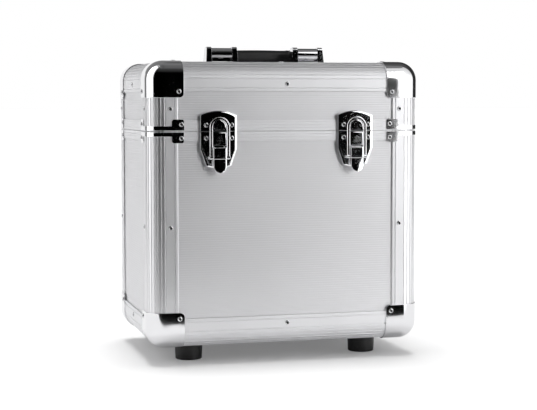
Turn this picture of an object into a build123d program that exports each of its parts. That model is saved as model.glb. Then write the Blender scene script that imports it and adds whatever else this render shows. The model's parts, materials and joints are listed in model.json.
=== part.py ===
from build123d import *
import math
import os

# Record carrying case: a panelled box with bent aluminium edge strips, pressed
# corner caps, a hinged lid, two key-lock draw latches and a fold-down handle.
# Millimetres, +Z up, front towards -Y, feet standing on z = 0.

# Case
case_width = 350.0
case_depth = 233.0
body_height = 267.0
lid_height = 85.4
lid_gap = 0.6

# Shell build-up, counted inwards from the outer face
edge_radius = 22.0
profile_wall = 2.0
facing_thickness = 1.0
panel_thickness = 6.0
lining_thickness = 3.0
lining_clearance = 0.3

# Bent edge strips
profile_reach = 37.0
profile_start = 24.0
profile_end_gap = 0.3
facing_inset = 24.0
ridge_count = 6
ridge_groove = 0.5
leg_groove_inset = 32.5
leg_groove = 0.7
lip_round = 1.0

# Rims along the split
body_rim_height = 12.0
lid_rim_height = 13.0
rim_top = 1.5
rim_rib_pitch = 3.6
rim_rib_groove = 0.45
tongue_wall = 1.5
tongue_height = 6.0
tongue_clearance = 0.6
tongue_headroom = 1.2

# Corner caps and split brackets
cap_reach = 44.5
cap_wall = 1.2
cap_corner = 6.0
cap_rivet_along = 38.0
cap_rivet_across = 37.0
bracket_wall = 1.0
bracket_strip = 5.0
bracket_split_gap = 1.0
bracket_ear_width = 15.3
bracket_ear_height = 13.2
bracket_corner = 3.0
bracket_rivet_inset = 40.8
bracket_rivet_height = 8.2

# Rivets
rivet_head_radius = 2.9
rivet_head_height = 1.1
rivet_head_round = 1.0
rivet_shank_radius = 1.6
rivet_bite = 4.0
profile_rivet_inset = 27.4

# Feet
foot_height = 22.0
foot_top_radius = 18.0
foot_bottom_radius = 16.8
foot_inset_x = 60.0
foot_inset_y = 55.3
foot_recess_radius = 6.5
foot_recess_depth = 9.0
foot_edge_round = 0.8
screw_head_radius = 5.0
screw_head_height = 3.0
screw_radius = 2.2
screw_bite = 5.0

# Latch plates
latch_bracket_gap = 19.0
plate_half_width = 23.5
plate_height = 4.6
plate_taper = 40.0
plate_wall = 1.2
plate_edge_round = 0.6
catch_shoulder = 20.0
catch_top = 25.6
base_shoulder = 22.3
base_foot_half_width = 15.8
base_foot = 42.3
base_low = 45.3
plate_rivet_x = 16.0
plate_rivet_drop = 8.0

# Latch lock
block_half_width = 7.2
block_top = 1.2
block_bottom = 17.6
block_height = 8.2
lock_radius = 3.9
lock_drop = 10.3
lock_proud = 0.8
lock_seat = 1.2
key_slot_width = 1.0
key_slot_length = 4.6
key_slot_depth = 1.5

# Latch bail and its boss
bail_inner_radius = 8.6
bail_width = 4.2
bail_thickness = 1.8
bail_arch_height = 5.4
bail_hook_gap = 0.3
boss_half_width = 7.5
boss_bottom = 2.0
boss_height = 9.9
bail_pin_drop = 32.0
bail_pin_height = 8.0
bail_eye_radius = 2.2
bail_side_gap = 0.3
pin_radius = 1.0
pin_head_radius = 1.7
pin_head_height = 0.7
running_gap = 0.05

# Latch lever
lever_pivot_drop = 21.2
lever_pivot_height = 8.4
lever_round = 3.2
lever_wall = 1.0
lever_skirt = 1.4
lever_bend_drop = 33.5
lever_tip_drop = 50.7
lever_tip_height = 13.2
lever_tip_edge = 1.6
knuckle_radius = 2.0
knuckle_side_gap = 0.3
pedestal_half_width = 1.4

# Rear hinges
hinge_bracket_gap = 12.5
hinge_length = 60.0
hinge_leaf_wall = 1.6
hinge_leaf_height = 11.0
hinge_knuckle_radius = 3.5
hinge_stand_off = 0.4
hinge_swing_gap = 0.8
hinge_knuckles = 5
hinge_knuckle_gap = 0.4
hinge_pin_radius = 1.5
hinge_pin_head_radius = 2.8
hinge_pin_head_height = 1.2
hinge_tab_gap = 0.8
hinge_rivet_pitch = 22.0

# Handle
handle_bracket_inner = 36.4
handle_bracket_length = 43.5
handle_plate_depth = 32.0
handle_plate_wall = 2.0
handle_plate_corner = 4.0
handle_rivet_offset = 11.4
cheek_wall = 8.0
cheek_draft = 1.6
cheek_depth = 22.0
cheek_top_depth = 13.0
cheek_height = 24.0
cheek_top_round = 4.0
handle_pivot_height = 13.9
barrel_radius = 8.8
barrel_side_gap = 0.4
handle_pin_radius = 2.5
handle_pin_inset = 3.2
handle_arm_length = 30.0
handle_arm_width = 9.0
handle_arm_height = 8.0
grip_half_length = 41.5
grip_height = 15.0
grip_depth = 19.0
grip_round = 6.5
grip_rod_radius = 3.0
grip_rod_bite = 6.0

half_width = case_width / 2
half_depth = case_depth / 2
case_bottom = foot_height
split = case_bottom + body_height
lid_bottom = split + lid_gap
case_top = lid_bottom + lid_height
mid_height = (case_bottom + case_top) / 2
core_outer = profile_wall + facing_thickness
core_inner = core_outer + panel_thickness
lining_outer = core_inner + lining_clearance
lining_inner = lining_outer + lining_thickness
run_inset = profile_reach + profile_end_gap
front = -half_depth
hinge_axis_y = half_depth + hinge_knuckle_radius + hinge_stand_off
hinge_axis_z = split + lid_gap / 2
handle_pivot_z = case_top - profile_wall + handle_pivot_height
latch_spacing = case_width - 2 * (cap_reach + latch_bracket_gap + plate_half_width)
hinge_spacing = case_width - 2 * (cap_reach + hinge_bracket_gap) - hinge_length
front_reach = lever_tip_height
rear_reach = hinge_knuckle_radius * 2 + hinge_stand_off
centre_y = (front_reach - rear_reach) / 2


def slab(x, y, z):
    """Box between the low and high limit given for each axis."""
    size = [high - low for low, high in (x, y, z)]
    centre = [(high + low) / 2 for low, high in (x, y, z)]
    return Pos(*centre) * Box(*size)


def across(half):
    """Limits that lie half to each side of the middle."""
    return (-half, half)


def rod(radius, x, y, z):
    """Round bar along X between the two limits in x."""
    return Pos((x[0] + x[1]) / 2, y, z) * Rot(0, 90, 0) * Cylinder(radius, x[1] - x[0])


def group(shapes):
    """Separate solids kept together as one named sub-part."""
    return Compound([solid for shape in shapes for solid in shape.solids()])


def left_right(shape):
    return [shape, mirror(shape, about=Plane.YZ)]


def front_rear(shape):
    return [shape, mirror(shape, about=Plane.XZ)]


def four_ways(shape):
    return [copy for side in left_right(shape) for copy in front_rear(side)]


def raised(shape):
    """The same shape at the other end of the case's height."""
    return mirror(shape, about=Plane.XY.offset(mid_height))


def envelope(inset):
    """The closed case as one rounded block, drawn in by inset on every side."""
    block = slab(across(half_width - inset), across(half_depth - inset),
                 (case_bottom + inset, case_top - inset))
    return fillet(block.edges(), edge_radius - inset)


def rivet(point, normal, grip):
    """Domed rivet with its head on the surface at point and its shank going inwards."""
    head = Pos(0, 0, rivet_head_height / 2) * Cylinder(rivet_head_radius, rivet_head_height)
    head = fillet(head.edges().sort_by(Axis.Z)[-1], rivet_head_round)
    shank = Pos(0, 0, -grip / 2) * Cylinder(rivet_shank_radius, grip)
    return Plane(origin=point, z_dir=normal).location * (head + shank)


# Panels

def panel_walls(low, high):
    """Front, rear, left and right core boards between two heights."""
    long_board = slab(across(half_width - core_outer), (front + core_outer, front + core_inner), (low, high))
    side_board = slab((-half_width + core_outer, -half_width + core_inner),
                      across(half_depth - core_inner), (low, high))
    block = envelope(core_outer)
    return [board & block for board in front_rear(long_board) + left_right(side_board)]


def cross_board(low, high):
    """Floor or top core board over the whole footprint."""
    board = slab(across(half_width - core_outer), across(half_depth - core_outer), (low, high))
    return board & envelope(core_outer)


def wall_facings(low, high):
    """Thin metal sheets on the outside of the four walls."""
    long_sheet = slab(across(half_width - facing_inset),
                      (front + profile_wall, front + core_outer), (low, high))
    side_sheet = slab((-half_width + profile_wall, -half_width + core_outer),
                      across(half_depth - facing_inset), (low, high))
    return front_rear(long_sheet) + left_right(side_sheet)


def cross_facing(low, high):
    return slab(across(half_width - facing_inset), across(half_depth - facing_inset), (low, high))


# Edge strips

def corner_square(size, radius):
    """Square from the sketch origin along +X and +Y, with the corner at the origin rounded."""
    square = Pos(size / 2, size / 2) * Rectangle(size, size)
    return fillet(square.vertices().sort_by_distance((0, 0))[0], radius)


def edge_section():
    """Bent strip around an outer edge, with fine ridges on the bend and a groove on each leg."""
    inner = Pos(profile_wall, profile_wall) * corner_square(profile_reach, edge_radius - profile_wall)
    section = corner_square(profile_reach, edge_radius) - inner
    lips = [section.vertices().sort_by_distance(tip)[0] for tip in ((profile_reach, 0), (0, profile_reach))]
    section = fillet(lips, lip_round)
    for index in range(ridge_count):
        angle = math.pi + (index + 0.5) * math.pi / 2 / ridge_count
        centre = (edge_radius * (1 + math.cos(angle)), edge_radius * (1 + math.sin(angle)))
        section -= Pos(*centre) * Circle(ridge_groove)
    section -= Pos(leg_groove_inset, 0) * Circle(leg_groove)
    section -= Pos(0, leg_groove_inset) * Circle(leg_groove)
    return section


def upright_strips(low, high):
    """The four vertical edge strips between two heights."""
    strip = Pos(-half_width, front, low) * extrude(edge_section(), high - low)
    return four_ways(strip)


def bottom_strips():
    """Edge strips along the four bottom edges, between the uprights."""
    long_plane = Plane(origin=(-half_width + run_inset, front, case_bottom), x_dir=(0, 1, 0), z_dir=(1, 0, 0))
    side_plane = Plane(origin=(-half_width, half_depth - run_inset, case_bottom),
                       x_dir=(1, 0, 0), z_dir=(0, -1, 0))
    long_strip = long_plane.location * extrude(edge_section(), case_width - 2 * run_inset)
    side_strip = side_plane.location * extrude(edge_section(), case_depth - 2 * run_inset)
    return front_rear(long_strip) + left_right(side_strip)


def ribbed(section, height, direction):
    """Cut fine ribs along a rim's outer band, from the split towards its far edge."""
    count = int(height / rim_rib_pitch)
    for index in range(1, count + 1):
        section -= Pos(0, direction * index * rim_rib_pitch) * Circle(rim_rib_groove)
    return section


def box_section(x, y):
    return Pos((x[0] + x[1]) / 2, (y[0] + y[1]) / 2) * Rectangle(x[1] - x[0], y[1] - y[0])


def body_rim_section():
    """Channel over the wall's upper edge with a tongue that stands up inside the lid."""
    tongue = (core_inner + tongue_clearance, core_inner + tongue_clearance + tongue_wall)
    section = box_section((0, profile_wall), (-body_rim_height, 0))
    section += box_section((0, tongue[1]), (-rim_top, 0))
    section += box_section(tongue, (-body_rim_height, tongue_height))
    return ribbed(section, body_rim_height, -1)


def lid_rim_section():
    """Angle over the lid wall's lower edge, clear of the tongue."""
    section = box_section((0, profile_wall), (0, lid_rim_height))
    section += box_section((0, core_inner), (0, rim_top))
    return ribbed(section, lid_rim_height, 1)


def rim_runs(section, height):
    """The four straight rims at one height, between the upright strips."""
    long_plane = Plane(origin=(-half_width + run_inset, front, height), x_dir=(0, 1, 0), z_dir=(1, 0, 0))
    side_plane = Plane(origin=(-half_width, half_depth - run_inset, height),
                       x_dir=(1, 0, 0), z_dir=(0, -1, 0))
    long_run = long_plane.location * extrude(section, case_width - 2 * run_inset)
    side_run = side_plane.location * extrude(section, case_depth - 2 * run_inset)
    return front_rear(long_run) + left_right(side_run)


# Corner hardware

def corner_cap():
    """Pressed cap over the bottom front left corner."""
    tip = (-half_width + cap_reach, front + cap_reach, case_bottom + cap_reach)
    outside = 2 * cap_wall
    region = slab((-half_width - outside, tip[0]), (front - outside, tip[1]), (case_bottom - outside, tip[2]))
    region = fillet([edge for edge in region.edges() if edge.distance_to(Vertex(*tip)) < 0.01], cap_corner)
    return (envelope(-cap_wall) - envelope(0)) & region


def cap_rivets():
    """Three rivets of the bottom front left cap, one on each face."""
    grip = cap_wall + core_outer + rivet_bite
    along, across_edge = cap_rivet_along, cap_rivet_across
    left, low = -half_width, case_bottom
    return [
        rivet((left + along, front - cap_wall, low + across_edge), (0, -1, 0), grip),
        rivet((left - cap_wall, front + along, low + across_edge), (-1, 0, 0), grip),
        rivet((left + along, front + across_edge, low - cap_wall), (0, 0, -1), grip),
    ]


def split_bracket(low, direction):
    """Strip round the front left upright at the split, with a riveted ear on each face."""
    ear_start = cap_reach - bracket_ear_width
    reach = cap_reach + bracket_wall
    outer = Pos(-bracket_wall, -bracket_wall) * corner_square(reach, edge_radius + bracket_wall)
    section = outer - corner_square(reach, edge_radius)
    bracket = extrude(section, bracket_ear_height)
    waste = slab((-bracket_wall * 2, ear_start), (-bracket_wall * 2, ear_start),
                 (bracket_strip, bracket_ear_height * 2))
    bracket -= waste
    corners = [edge for edge in bracket.edges()
               if abs(edge.length - bracket_wall) < 0.01 and edge.center().Z > bracket_ear_height - 0.01]
    bracket = fillet(corners, bracket_corner)
    if direction < 0:
        bracket = mirror(bracket, about=Plane.XY)
    return Pos(-half_width, front, low + direction * bracket_split_gap) * bracket


def bracket_rivets(height):
    grip = bracket_wall + core_outer + rivet_bite
    return [
        rivet((-half_width + bracket_rivet_inset, front - bracket_wall, height), (0, -1, 0), grip),
        rivet((-half_width - bracket_wall, front + bracket_rivet_inset, height), (-1, 0, 0), grip),
    ]


def upright_rivets(height):
    """Rivets through both legs of the front left upright at one height."""
    grip = core_outer + rivet_bite
    return [
        rivet((-half_width + profile_rivet_inset, front, height), (0, -1, 0), grip),
        rivet((-half_width, front + profile_rivet_inset, height), (-1, 0, 0), grip),
    ]


def bottom_strip_rivets():
    """Rivets in the middle of the bottom strips, on their wall and floor legs."""
    grip = core_outer + rivet_bite
    height = case_bottom + profile_rivet_inset
    long_pair = [
        rivet((0, front, height), (0, -1, 0), grip),
        rivet((0, front + profile_rivet_inset, case_bottom), (0, 0, -1), grip),
    ]
    side_pair = [
        rivet((-half_width, 0, height), (-1, 0, 0), grip),
        rivet((-half_width + profile_rivet_inset, 0, case_bottom), (0, 0, -1), grip),
    ]
    return [copy for one in long_pair for copy in front_rear(one)] + \
        [copy for one in side_pair for copy in left_right(one)]


def spread(shapes):
    return [copy for shape in shapes for copy in four_ways(shape)]


# Feet

def foot(x, y):
    """Tapered rubber foot with a recess for its screw head."""
    height = foot_height + profile_wall
    body = Pos(x, y, height / 2) * Cone(foot_bottom_radius, foot_top_radius, height)
    recess = Pos(x, y, foot_recess_depth / 2) * Cylinder(foot_recess_radius, foot_recess_depth)
    hole = Pos(x, y, height / 2) * Cylinder(screw_radius, height)
    rim = body.edges().group_by(Axis.Z)[0]
    return fillet(rim, foot_edge_round) - recess - hole


def foot_screw(x, y):
    top = case_bottom + core_outer + screw_bite
    head = Cylinder(screw_head_radius, screw_head_height)
    head = Pos(x, y, foot_recess_depth - screw_head_height / 2) * head
    shank = Pos(x, y, (foot_recess_depth + top) / 2) * Cylinder(screw_radius, top - foot_recess_depth)
    return head + shank


# Latches, in a frame with X across, Y up from the split and Z out of the front

def latch_place(side):
    origin = (side * latch_spacing / 2, front, split)
    return Plane(origin=origin, x_dir=(1, 0, 0), z_dir=(0, -1, 0)).location


def catch_outline(inset):
    half = plate_half_width - inset
    low, high = -2 * plate_height, catch_shoulder - inset
    sides = Polyline((-half, high), (-half, low), (half, low), (half, high))
    arch = ThreePointArc((half, high), (0, catch_top - inset), (-half, high))
    return make_face([*sides.edges(), arch.edge()])


def base_outline(inset):
    half, foot_half = plate_half_width - inset, base_foot_half_width - inset
    shoulder, heel = -base_shoulder, -base_foot + inset
    sides = Polyline((foot_half, heel), (half, shoulder), (half, 2 * plate_height),
                     (-half, 2 * plate_height), (-half, shoulder), (-foot_half, heel))
    arch = ThreePointArc((-foot_half, heel), (0, -base_low + inset), (foot_half, heel))
    return make_face([*sides.edges(), arch.edge()])


def pressed_plate(outline, keep, rim_edge):
    """Hollow plate with bevelled sides, trimmed at the split, whose skirt reaches down past the rim."""
    outer = extrude(outline(0), plate_height, taper=plate_taper)
    hollow = extrude(outline(plate_wall), plate_height - plate_wall, taper=plate_taper)
    skirt = Pos(0, 0, -profile_wall) * extrude(outline(0) - outline(plate_wall), profile_wall)
    beyond = slab(across(case_width), rim_edge, across(case_width))
    inside = (keep[0] + plate_wall, keep[1]) if keep[0] > 0 else (keep[0], keep[1] - plate_wall)
    kept = slab(across(plate_half_width * 2), keep, across(plate_height * 2))
    hollow &= slab(across(plate_half_width * 2), inside, across(plate_height * 2))
    return (outer & kept) - hollow + (skirt & beyond)


def catch_plate():
    """Lid plate with the boss that the bail hooks over."""
    plate = pressed_plate(catch_outline, (lid_gap, lid_height), (lid_gap + lid_rim_height, lid_height))
    top = bail_arch_height + bail_inner_radius - bail_hook_gap
    crown = Pos(0, top - boss_half_width) * Circle(boss_half_width)
    outline = crown + box_section(across(boss_half_width), (boss_bottom, top - boss_half_width))
    outline &= box_section(across(boss_half_width), (boss_bottom, top))
    seat = plate_height - plate_wall
    boss = Pos(0, 0, seat) * extrude(outline, boss_height - seat)
    boss = fillet(boss.edges().filter_by(Plane.XY).group_by(Axis.Z)[-1], plate_edge_round)
    return plate + boss


def base_plate():
    """Body plate with the lock block and the knuckle that carries the lever's pin."""
    plate = pressed_plate(base_outline, (-body_height, 0), (-body_height, -body_rim_height))
    block = slab(across(block_half_width), (-block_bottom, -block_top),
                 (plate_height - plate_wall, block_height))
    block = fillet(block.edges().filter_by(Plane.XY).group_by(Axis.Z)[-1], plate_edge_round)
    plate += block
    plate -= Pos(0, -lock_drop, 0) * Cylinder(lock_radius + running_gap, block_height * 3)
    span = across(skirt_inner() - knuckle_side_gap)
    pedestal = slab(span, (-lever_pivot_drop - pedestal_half_width, -lever_pivot_drop + pedestal_half_width),
                    (plate_height - plate_wall, lever_pivot_height))
    plate += pedestal + rod(knuckle_radius, span, -lever_pivot_drop, lever_pivot_height)
    return plate - lever_pin()


def lever_half_width():
    """The lever fills the space between the bail's legs, less a side gap."""
    return bail_inner_radius - bail_side_gap


def skirt_inner():
    return lever_half_width() - lever_skirt


def lever_pin():
    span = across(lever_half_width() + bail_side_gap / 2)
    return rod(pin_radius, span, -lever_pivot_drop, lever_pivot_height)


def lever_side(shift):
    """Side view of the lever, in the YZ plane, moved back by shift."""
    pivot_y, pivot_z = -lever_pivot_drop, lever_pivot_height - shift
    face = pivot_z + lever_round
    back = pivot_z - lever_round
    tip = lever_tip_height - shift
    outline = Polyline(
        (pivot_y, face), (-lever_bend_drop, face), (-lever_tip_drop, tip),
        (-lever_tip_drop, tip - lever_tip_edge), (-base_low, back + lever_round),
        (-lever_bend_drop, back), (pivot_y, back))
    top = ThreePointArc((pivot_y, back), (pivot_y + lever_round, pivot_z), (pivot_y, face))
    return make_face([*outline.edges(), top.edge()])


def lever():
    """Pressed thumb lever: a face with two skirts, pinned at its top end."""
    half = lever_half_width()
    sideways = Plane(origin=(-half, 0, 0), x_dir=(0, 1, 0), z_dir=(1, 0, 0)).location
    inside = Plane(origin=(-skirt_inner(), 0, 0), x_dir=(0, 1, 0), z_dir=(1, 0, 0)).location
    shape = sideways * extrude(lever_side(0), 2 * half)
    shape -= inside * extrude(lever_side(lever_wall), 2 * skirt_inner())
    shape -= slab(across(skirt_inner()), (-lever_pivot_drop - running_gap, 0), across(case_width))
    tip_centre = -lever_tip_drop + half
    front_view = Pos(0, tip_centre) * Circle(half) + box_section(across(half), (tip_centre, 0))
    shape &= Pos(0, 0, -lever_tip_height) * extrude(front_view, 3 * lever_tip_height)
    shape -= rod(pin_radius + running_gap, across(case_width), -lever_pivot_drop, lever_pivot_height)
    return shape - bail_pin()


def bail_outer_radius():
    return bail_inner_radius + bail_width


def bail_pin():
    """Cross pin through the lever's skirts that carries the bail."""
    half = bail_outer_radius() + bail_side_gap
    pin = rod(pin_radius, across(half), -bail_pin_drop, bail_pin_height)
    for side in (-1, 1):
        limits = sorted((side * half, side * (half + pin_head_height)))
        pin += rod(pin_head_radius, limits, -bail_pin_drop, bail_pin_height)
    return pin


def bail():
    """Flat bail: an arch over two legs that end in eyes round the cross pin."""
    outer_radius = bail_outer_radius()
    arch = Pos(0, bail_arch_height) * (Circle(outer_radius) - Circle(bail_inner_radius))
    arch &= box_section(across(outer_radius), (bail_arch_height, bail_arch_height + outer_radius))
    for side in (-1, 1):
        limits = sorted((side * bail_inner_radius, side * outer_radius))
        arch += box_section(limits, (-bail_pin_drop, bail_arch_height))
    low = bail_pin_height - bail_thickness / 2
    shape = Pos(0, 0, low) * extrude(arch, bail_thickness)
    for side in (-1, 1):
        limits = sorted((side * bail_inner_radius, side * outer_radius))
        shape += rod(bail_eye_radius, limits, -bail_pin_drop, bail_pin_height)
    return shape - rod(pin_radius + running_gap, across(case_width), -bail_pin_drop, bail_pin_height)


def lock_cylinder():
    """Turning barrel of the lock with its key slot."""
    low, high = lock_seat, block_height + lock_proud
    barrel = Pos(0, -lock_drop, (low + high) / 2) * Cylinder(lock_radius, high - low)
    slot = Pos(0, -lock_drop, high) * Box(key_slot_width, key_slot_length, key_slot_depth * 2)
    return barrel - slot


def plate_rivets(height):
    """Two rivets through a latch plate, height above or below the split."""
    grip = plate_height + core_outer + rivet_bite
    return [rivet((side * plate_rivet_x, height, plate_height), (0, 0, 1), grip) for side in (-1, 1)]


# Rear hinges

def hinge_leaf(centre, direction, parity):
    """Leaf on one rim with every second knuckle round the pin."""
    pitch = hinge_length / hinge_knuckles
    near = hinge_knuckle_radius + hinge_swing_gap
    levels = sorted((hinge_axis_z + direction * near, hinge_axis_z + direction * hinge_leaf_height))
    limits = (centre - hinge_length / 2, centre + hinge_length / 2)
    leaf = slab(limits, (half_depth, half_depth + hinge_leaf_wall), levels)
    for index in range(parity, hinge_knuckles, 2):
        start = limits[0] + index * pitch + hinge_knuckle_gap / 2
        span = (start, start + pitch - hinge_knuckle_gap)
        leaf += rod(hinge_knuckle_radius, span, hinge_axis_y, hinge_axis_z)
        tab = sorted((hinge_axis_z + direction * hinge_tab_gap, hinge_axis_z + direction * near))
        leaf += slab(span, (half_depth, half_depth + hinge_leaf_wall), tab)
    return leaf - rod(hinge_pin_radius + running_gap, limits, hinge_axis_y, hinge_axis_z)


def hinge_pin(centre):
    half = hinge_length / 2
    pin = rod(hinge_pin_radius, (centre - half, centre + half), hinge_axis_y, hinge_axis_z)
    for side in (-1, 1):
        limits = sorted((centre + side * half, centre + side * (half + hinge_pin_head_height)))
        pin += rod(hinge_pin_head_radius, limits, hinge_axis_y, hinge_axis_z)
    return pin


def hinge_rivets(centre, direction):
    height = hinge_axis_z + direction * (hinge_knuckle_radius + hinge_swing_gap + hinge_leaf_height) / 2
    grip = hinge_leaf_wall + core_outer + rivet_bite
    places = [centre + step * hinge_rivet_pitch for step in (-1, 0, 1)]
    return [rivet((x, half_depth + hinge_leaf_wall, height), (0, 1, 0), grip) for x in places]


# Handle

def handle_bracket():
    """Right bracket: a base plate with two tapered cheeks that hold the handle's pin."""
    seat = case_top - profile_wall
    inner, outer = handle_bracket_inner, handle_bracket_inner + handle_bracket_length
    plate = slab((inner, outer), across(handle_plate_depth / 2), (seat, seat + handle_plate_wall))
    plate = fillet(plate.edges().filter_by(Axis.Z), handle_plate_corner)
    side_view = make_face(Polyline(
        (-cheek_depth / 2, 0), (cheek_depth / 2, 0), (cheek_top_depth / 2, cheek_height),
        (-cheek_top_depth / 2, cheek_height), close=True))
    side_view = fillet(side_view.vertices().group_by(Axis.Y)[-1], cheek_top_round)
    bracket = plate
    for face, direction in ((inner, 1), (outer, -1)):
        plane = Plane(origin=(face, 0, seat), x_dir=(0, 1, 0), z_dir=(1, 0, 0))
        limits = sorted((0, direction * cheek_wall))
        cheek = plane.location * Pos(0, 0, limits[0]) * extrude(side_view, cheek_wall)
        corner = Plane(origin=(face, 0, seat + cheek_height), x_dir=(1, 0, 0), z_dir=(0, -1, 0))
        wedge = make_face(Polyline((0, -cheek_height), (direction * cheek_draft, 0),
                                   (-direction * cheek_wall, 0), close=True))
        cheek -= corner.location * Pos(0, 0, -cheek_depth) * extrude(wedge, 2 * cheek_depth)
        bracket += cheek
    return bracket - handle_pin()


def handle_pin():
    outer = handle_bracket_inner + handle_bracket_length
    return rod(handle_pin_radius, (handle_bracket_inner + handle_pin_inset, outer - handle_pin_inset),
               0, handle_pivot_z)


def barrel_limits():
    inner = handle_bracket_inner + cheek_wall + barrel_side_gap
    outer = handle_bracket_inner + handle_bracket_length - cheek_wall - barrel_side_gap
    return (inner, outer)


def handle_arm():
    """Right arm: a barrel on the pin, an arm going back and a cup for the grip's end."""
    inner, outer = barrel_limits()
    arm = rod(barrel_radius, (inner, outer), 0, handle_pivot_z)
    reach = handle_arm_length + grip_depth / 2
    height = (handle_pivot_z - handle_arm_height / 2, handle_pivot_z + handle_arm_height / 2)
    web = slab((inner, inner + handle_arm_width), (0, reach), height)
    arm += web
    length = inner + handle_arm_width - grip_half_length
    arm += grip_place(grip_half_length) * extrude(grip_section(), length)
    arm -= rod(handle_pin_radius + running_gap, (inner, outer), 0, handle_pivot_z)
    return arm - grip_rod()


def grip_section():
    return RectangleRounded(grip_depth, grip_height, grip_round)


def grip_place(x):
    """Place at x on the grip's middle line, for sections that run along X."""
    origin = (x, handle_arm_length, handle_pivot_z)
    return Plane(origin=origin, x_dir=(0, 1, 0), z_dir=(1, 0, 0)).location


def grip():
    """Moulded grip between the two arms."""
    return grip_place(-grip_half_length) * extrude(grip_section(), 2 * grip_half_length) - grip_rod()


def grip_rod():
    """Steel rod inside the grip that ties the two arms together."""
    return rod(grip_rod_radius, across(grip_half_length + grip_rod_bite), handle_arm_length, handle_pivot_z)


def bracket_base_rivets():
    middle = handle_bracket_inner + handle_bracket_length / 2
    grip = handle_plate_wall + facing_thickness + rivet_bite
    seat = case_top - profile_wall + handle_plate_wall
    return [rivet((middle, side * handle_rivet_offset, seat), (0, 0, 1), grip) for side in (-1, 1)]


# Linings

def wall_lining(low, high):
    """Foam sheets on the inside of the four walls."""
    long_sheet = slab(across(half_width - lining_outer),
                      (front + lining_outer, front + lining_inner), (low, high))
    side_sheet = slab((-half_width + lining_outer, -half_width + lining_inner),
                      across(half_depth - lining_inner - lining_clearance), (low, high))
    return front_rear(long_sheet) + left_right(side_sheet)


def cross_lining(low, high):
    margin = lining_inner + lining_clearance
    return slab(across(half_width - margin), across(half_depth - margin), (low, high))


def body_rivet_set():
    between = (case_bottom + cap_reach + split - bracket_ear_height) / 2
    rivets = spread(cap_rivets() + upright_rivets(between) + bracket_rivets(split - bracket_rivet_height))
    rivets += bottom_strip_rivets()
    for side in (-1, 1):
        rivets += [latch_place(side) * one for one in plate_rivets(-plate_rivet_drop)]
        rivets += hinge_rivets(side * hinge_spacing / 2, -1)
    return rivets


def lid_rivet_set():
    between = (lid_bottom + bracket_ear_height + case_top - cap_reach) / 2
    rivets = spread([raised(one) for one in cap_rivets()] + upright_rivets(between))
    rivets += spread(bracket_rivets(lid_bottom + bracket_rivet_height))
    rivets += [raised(one) for one in bottom_strip_rivets()]
    for side in (-1, 1):
        rivets += [latch_place(side) * one for one in plate_rivets(plate_rivet_drop)]
        rivets += hinge_rivets(side * hinge_spacing / 2, 1)
    for one in bracket_base_rivets():
        rivets += left_right(one)
    return rivets


def case_body():
    rivets = body_rivet_set()
    feet = [(x, y) for x in (half_width - foot_inset_x, foot_inset_x - half_width)
            for y in (half_depth - foot_inset_y, foot_inset_y - half_depth)]
    screws = [foot_screw(x, y) for x, y in feet]
    walls = panel_walls(case_bottom + core_inner, split - rim_top)
    facings = wall_facings(case_bottom + facing_inset, split - rim_top)
    facings.append(cross_facing(case_bottom + profile_wall, case_bottom + core_outer))
    lining = wall_lining(case_bottom + lining_outer, split - body_rim_height - lining_clearance)
    lining.append(cross_lining(case_bottom + lining_outer, case_bottom + lining_inner))
    uprights = upright_strips(case_bottom + profile_start, split)
    caps = four_ways(corner_cap())
    parts = {
        "floor_panel": cross_board(case_bottom + core_outer, case_bottom + core_inner) - rivets - screws,
        "front_panel": walls[0] - rivets,
        "rear_panel": walls[1] - rivets,
        "left_panel": walls[2] - rivets,
        "right_panel": walls[3] - rivets,
        "body_facings": group([sheet - rivets - screws for sheet in facings]),
        "body_corner_profiles": group([strip - rivets for strip in uprights]),
        "bottom_edge_profiles": group([strip - rivets for strip in bottom_strips()]),
        "body_rim_profiles": group([run - rivets for run in rim_runs(body_rim_section(), split)]),
        "body_split_brackets": group([one - rivets for one in four_ways(split_bracket(split, -1))]),
        "cap_bottom_front_left": caps[0] - rivets,
        "cap_bottom_rear_left": caps[1] - rivets,
        "cap_bottom_front_right": caps[2] - rivets,
        "cap_bottom_rear_right": caps[3] - rivets,
        "body_lining": group(lining),
        "body_rivets": group(rivets),
        "rubber_feet": group([foot(x, y) for x, y in feet]),
        "foot_screws": group(screws),
        "hinge_pins": group([hinge_pin(side * hinge_spacing / 2) for side in (-1, 1)]),
        "lever_pins": group([latch_place(side) * lever_pin() for side in (-1, 1)]),
    }
    for side, name in ((-1, "left"), (1, "right")):
        parts["latch_base_" + name] = latch_place(side) * base_plate() - rivets
        parts["hinge_body_leaf_" + name] = hinge_leaf(side * hinge_spacing / 2, -1, 0) - rivets
    return parts


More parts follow.
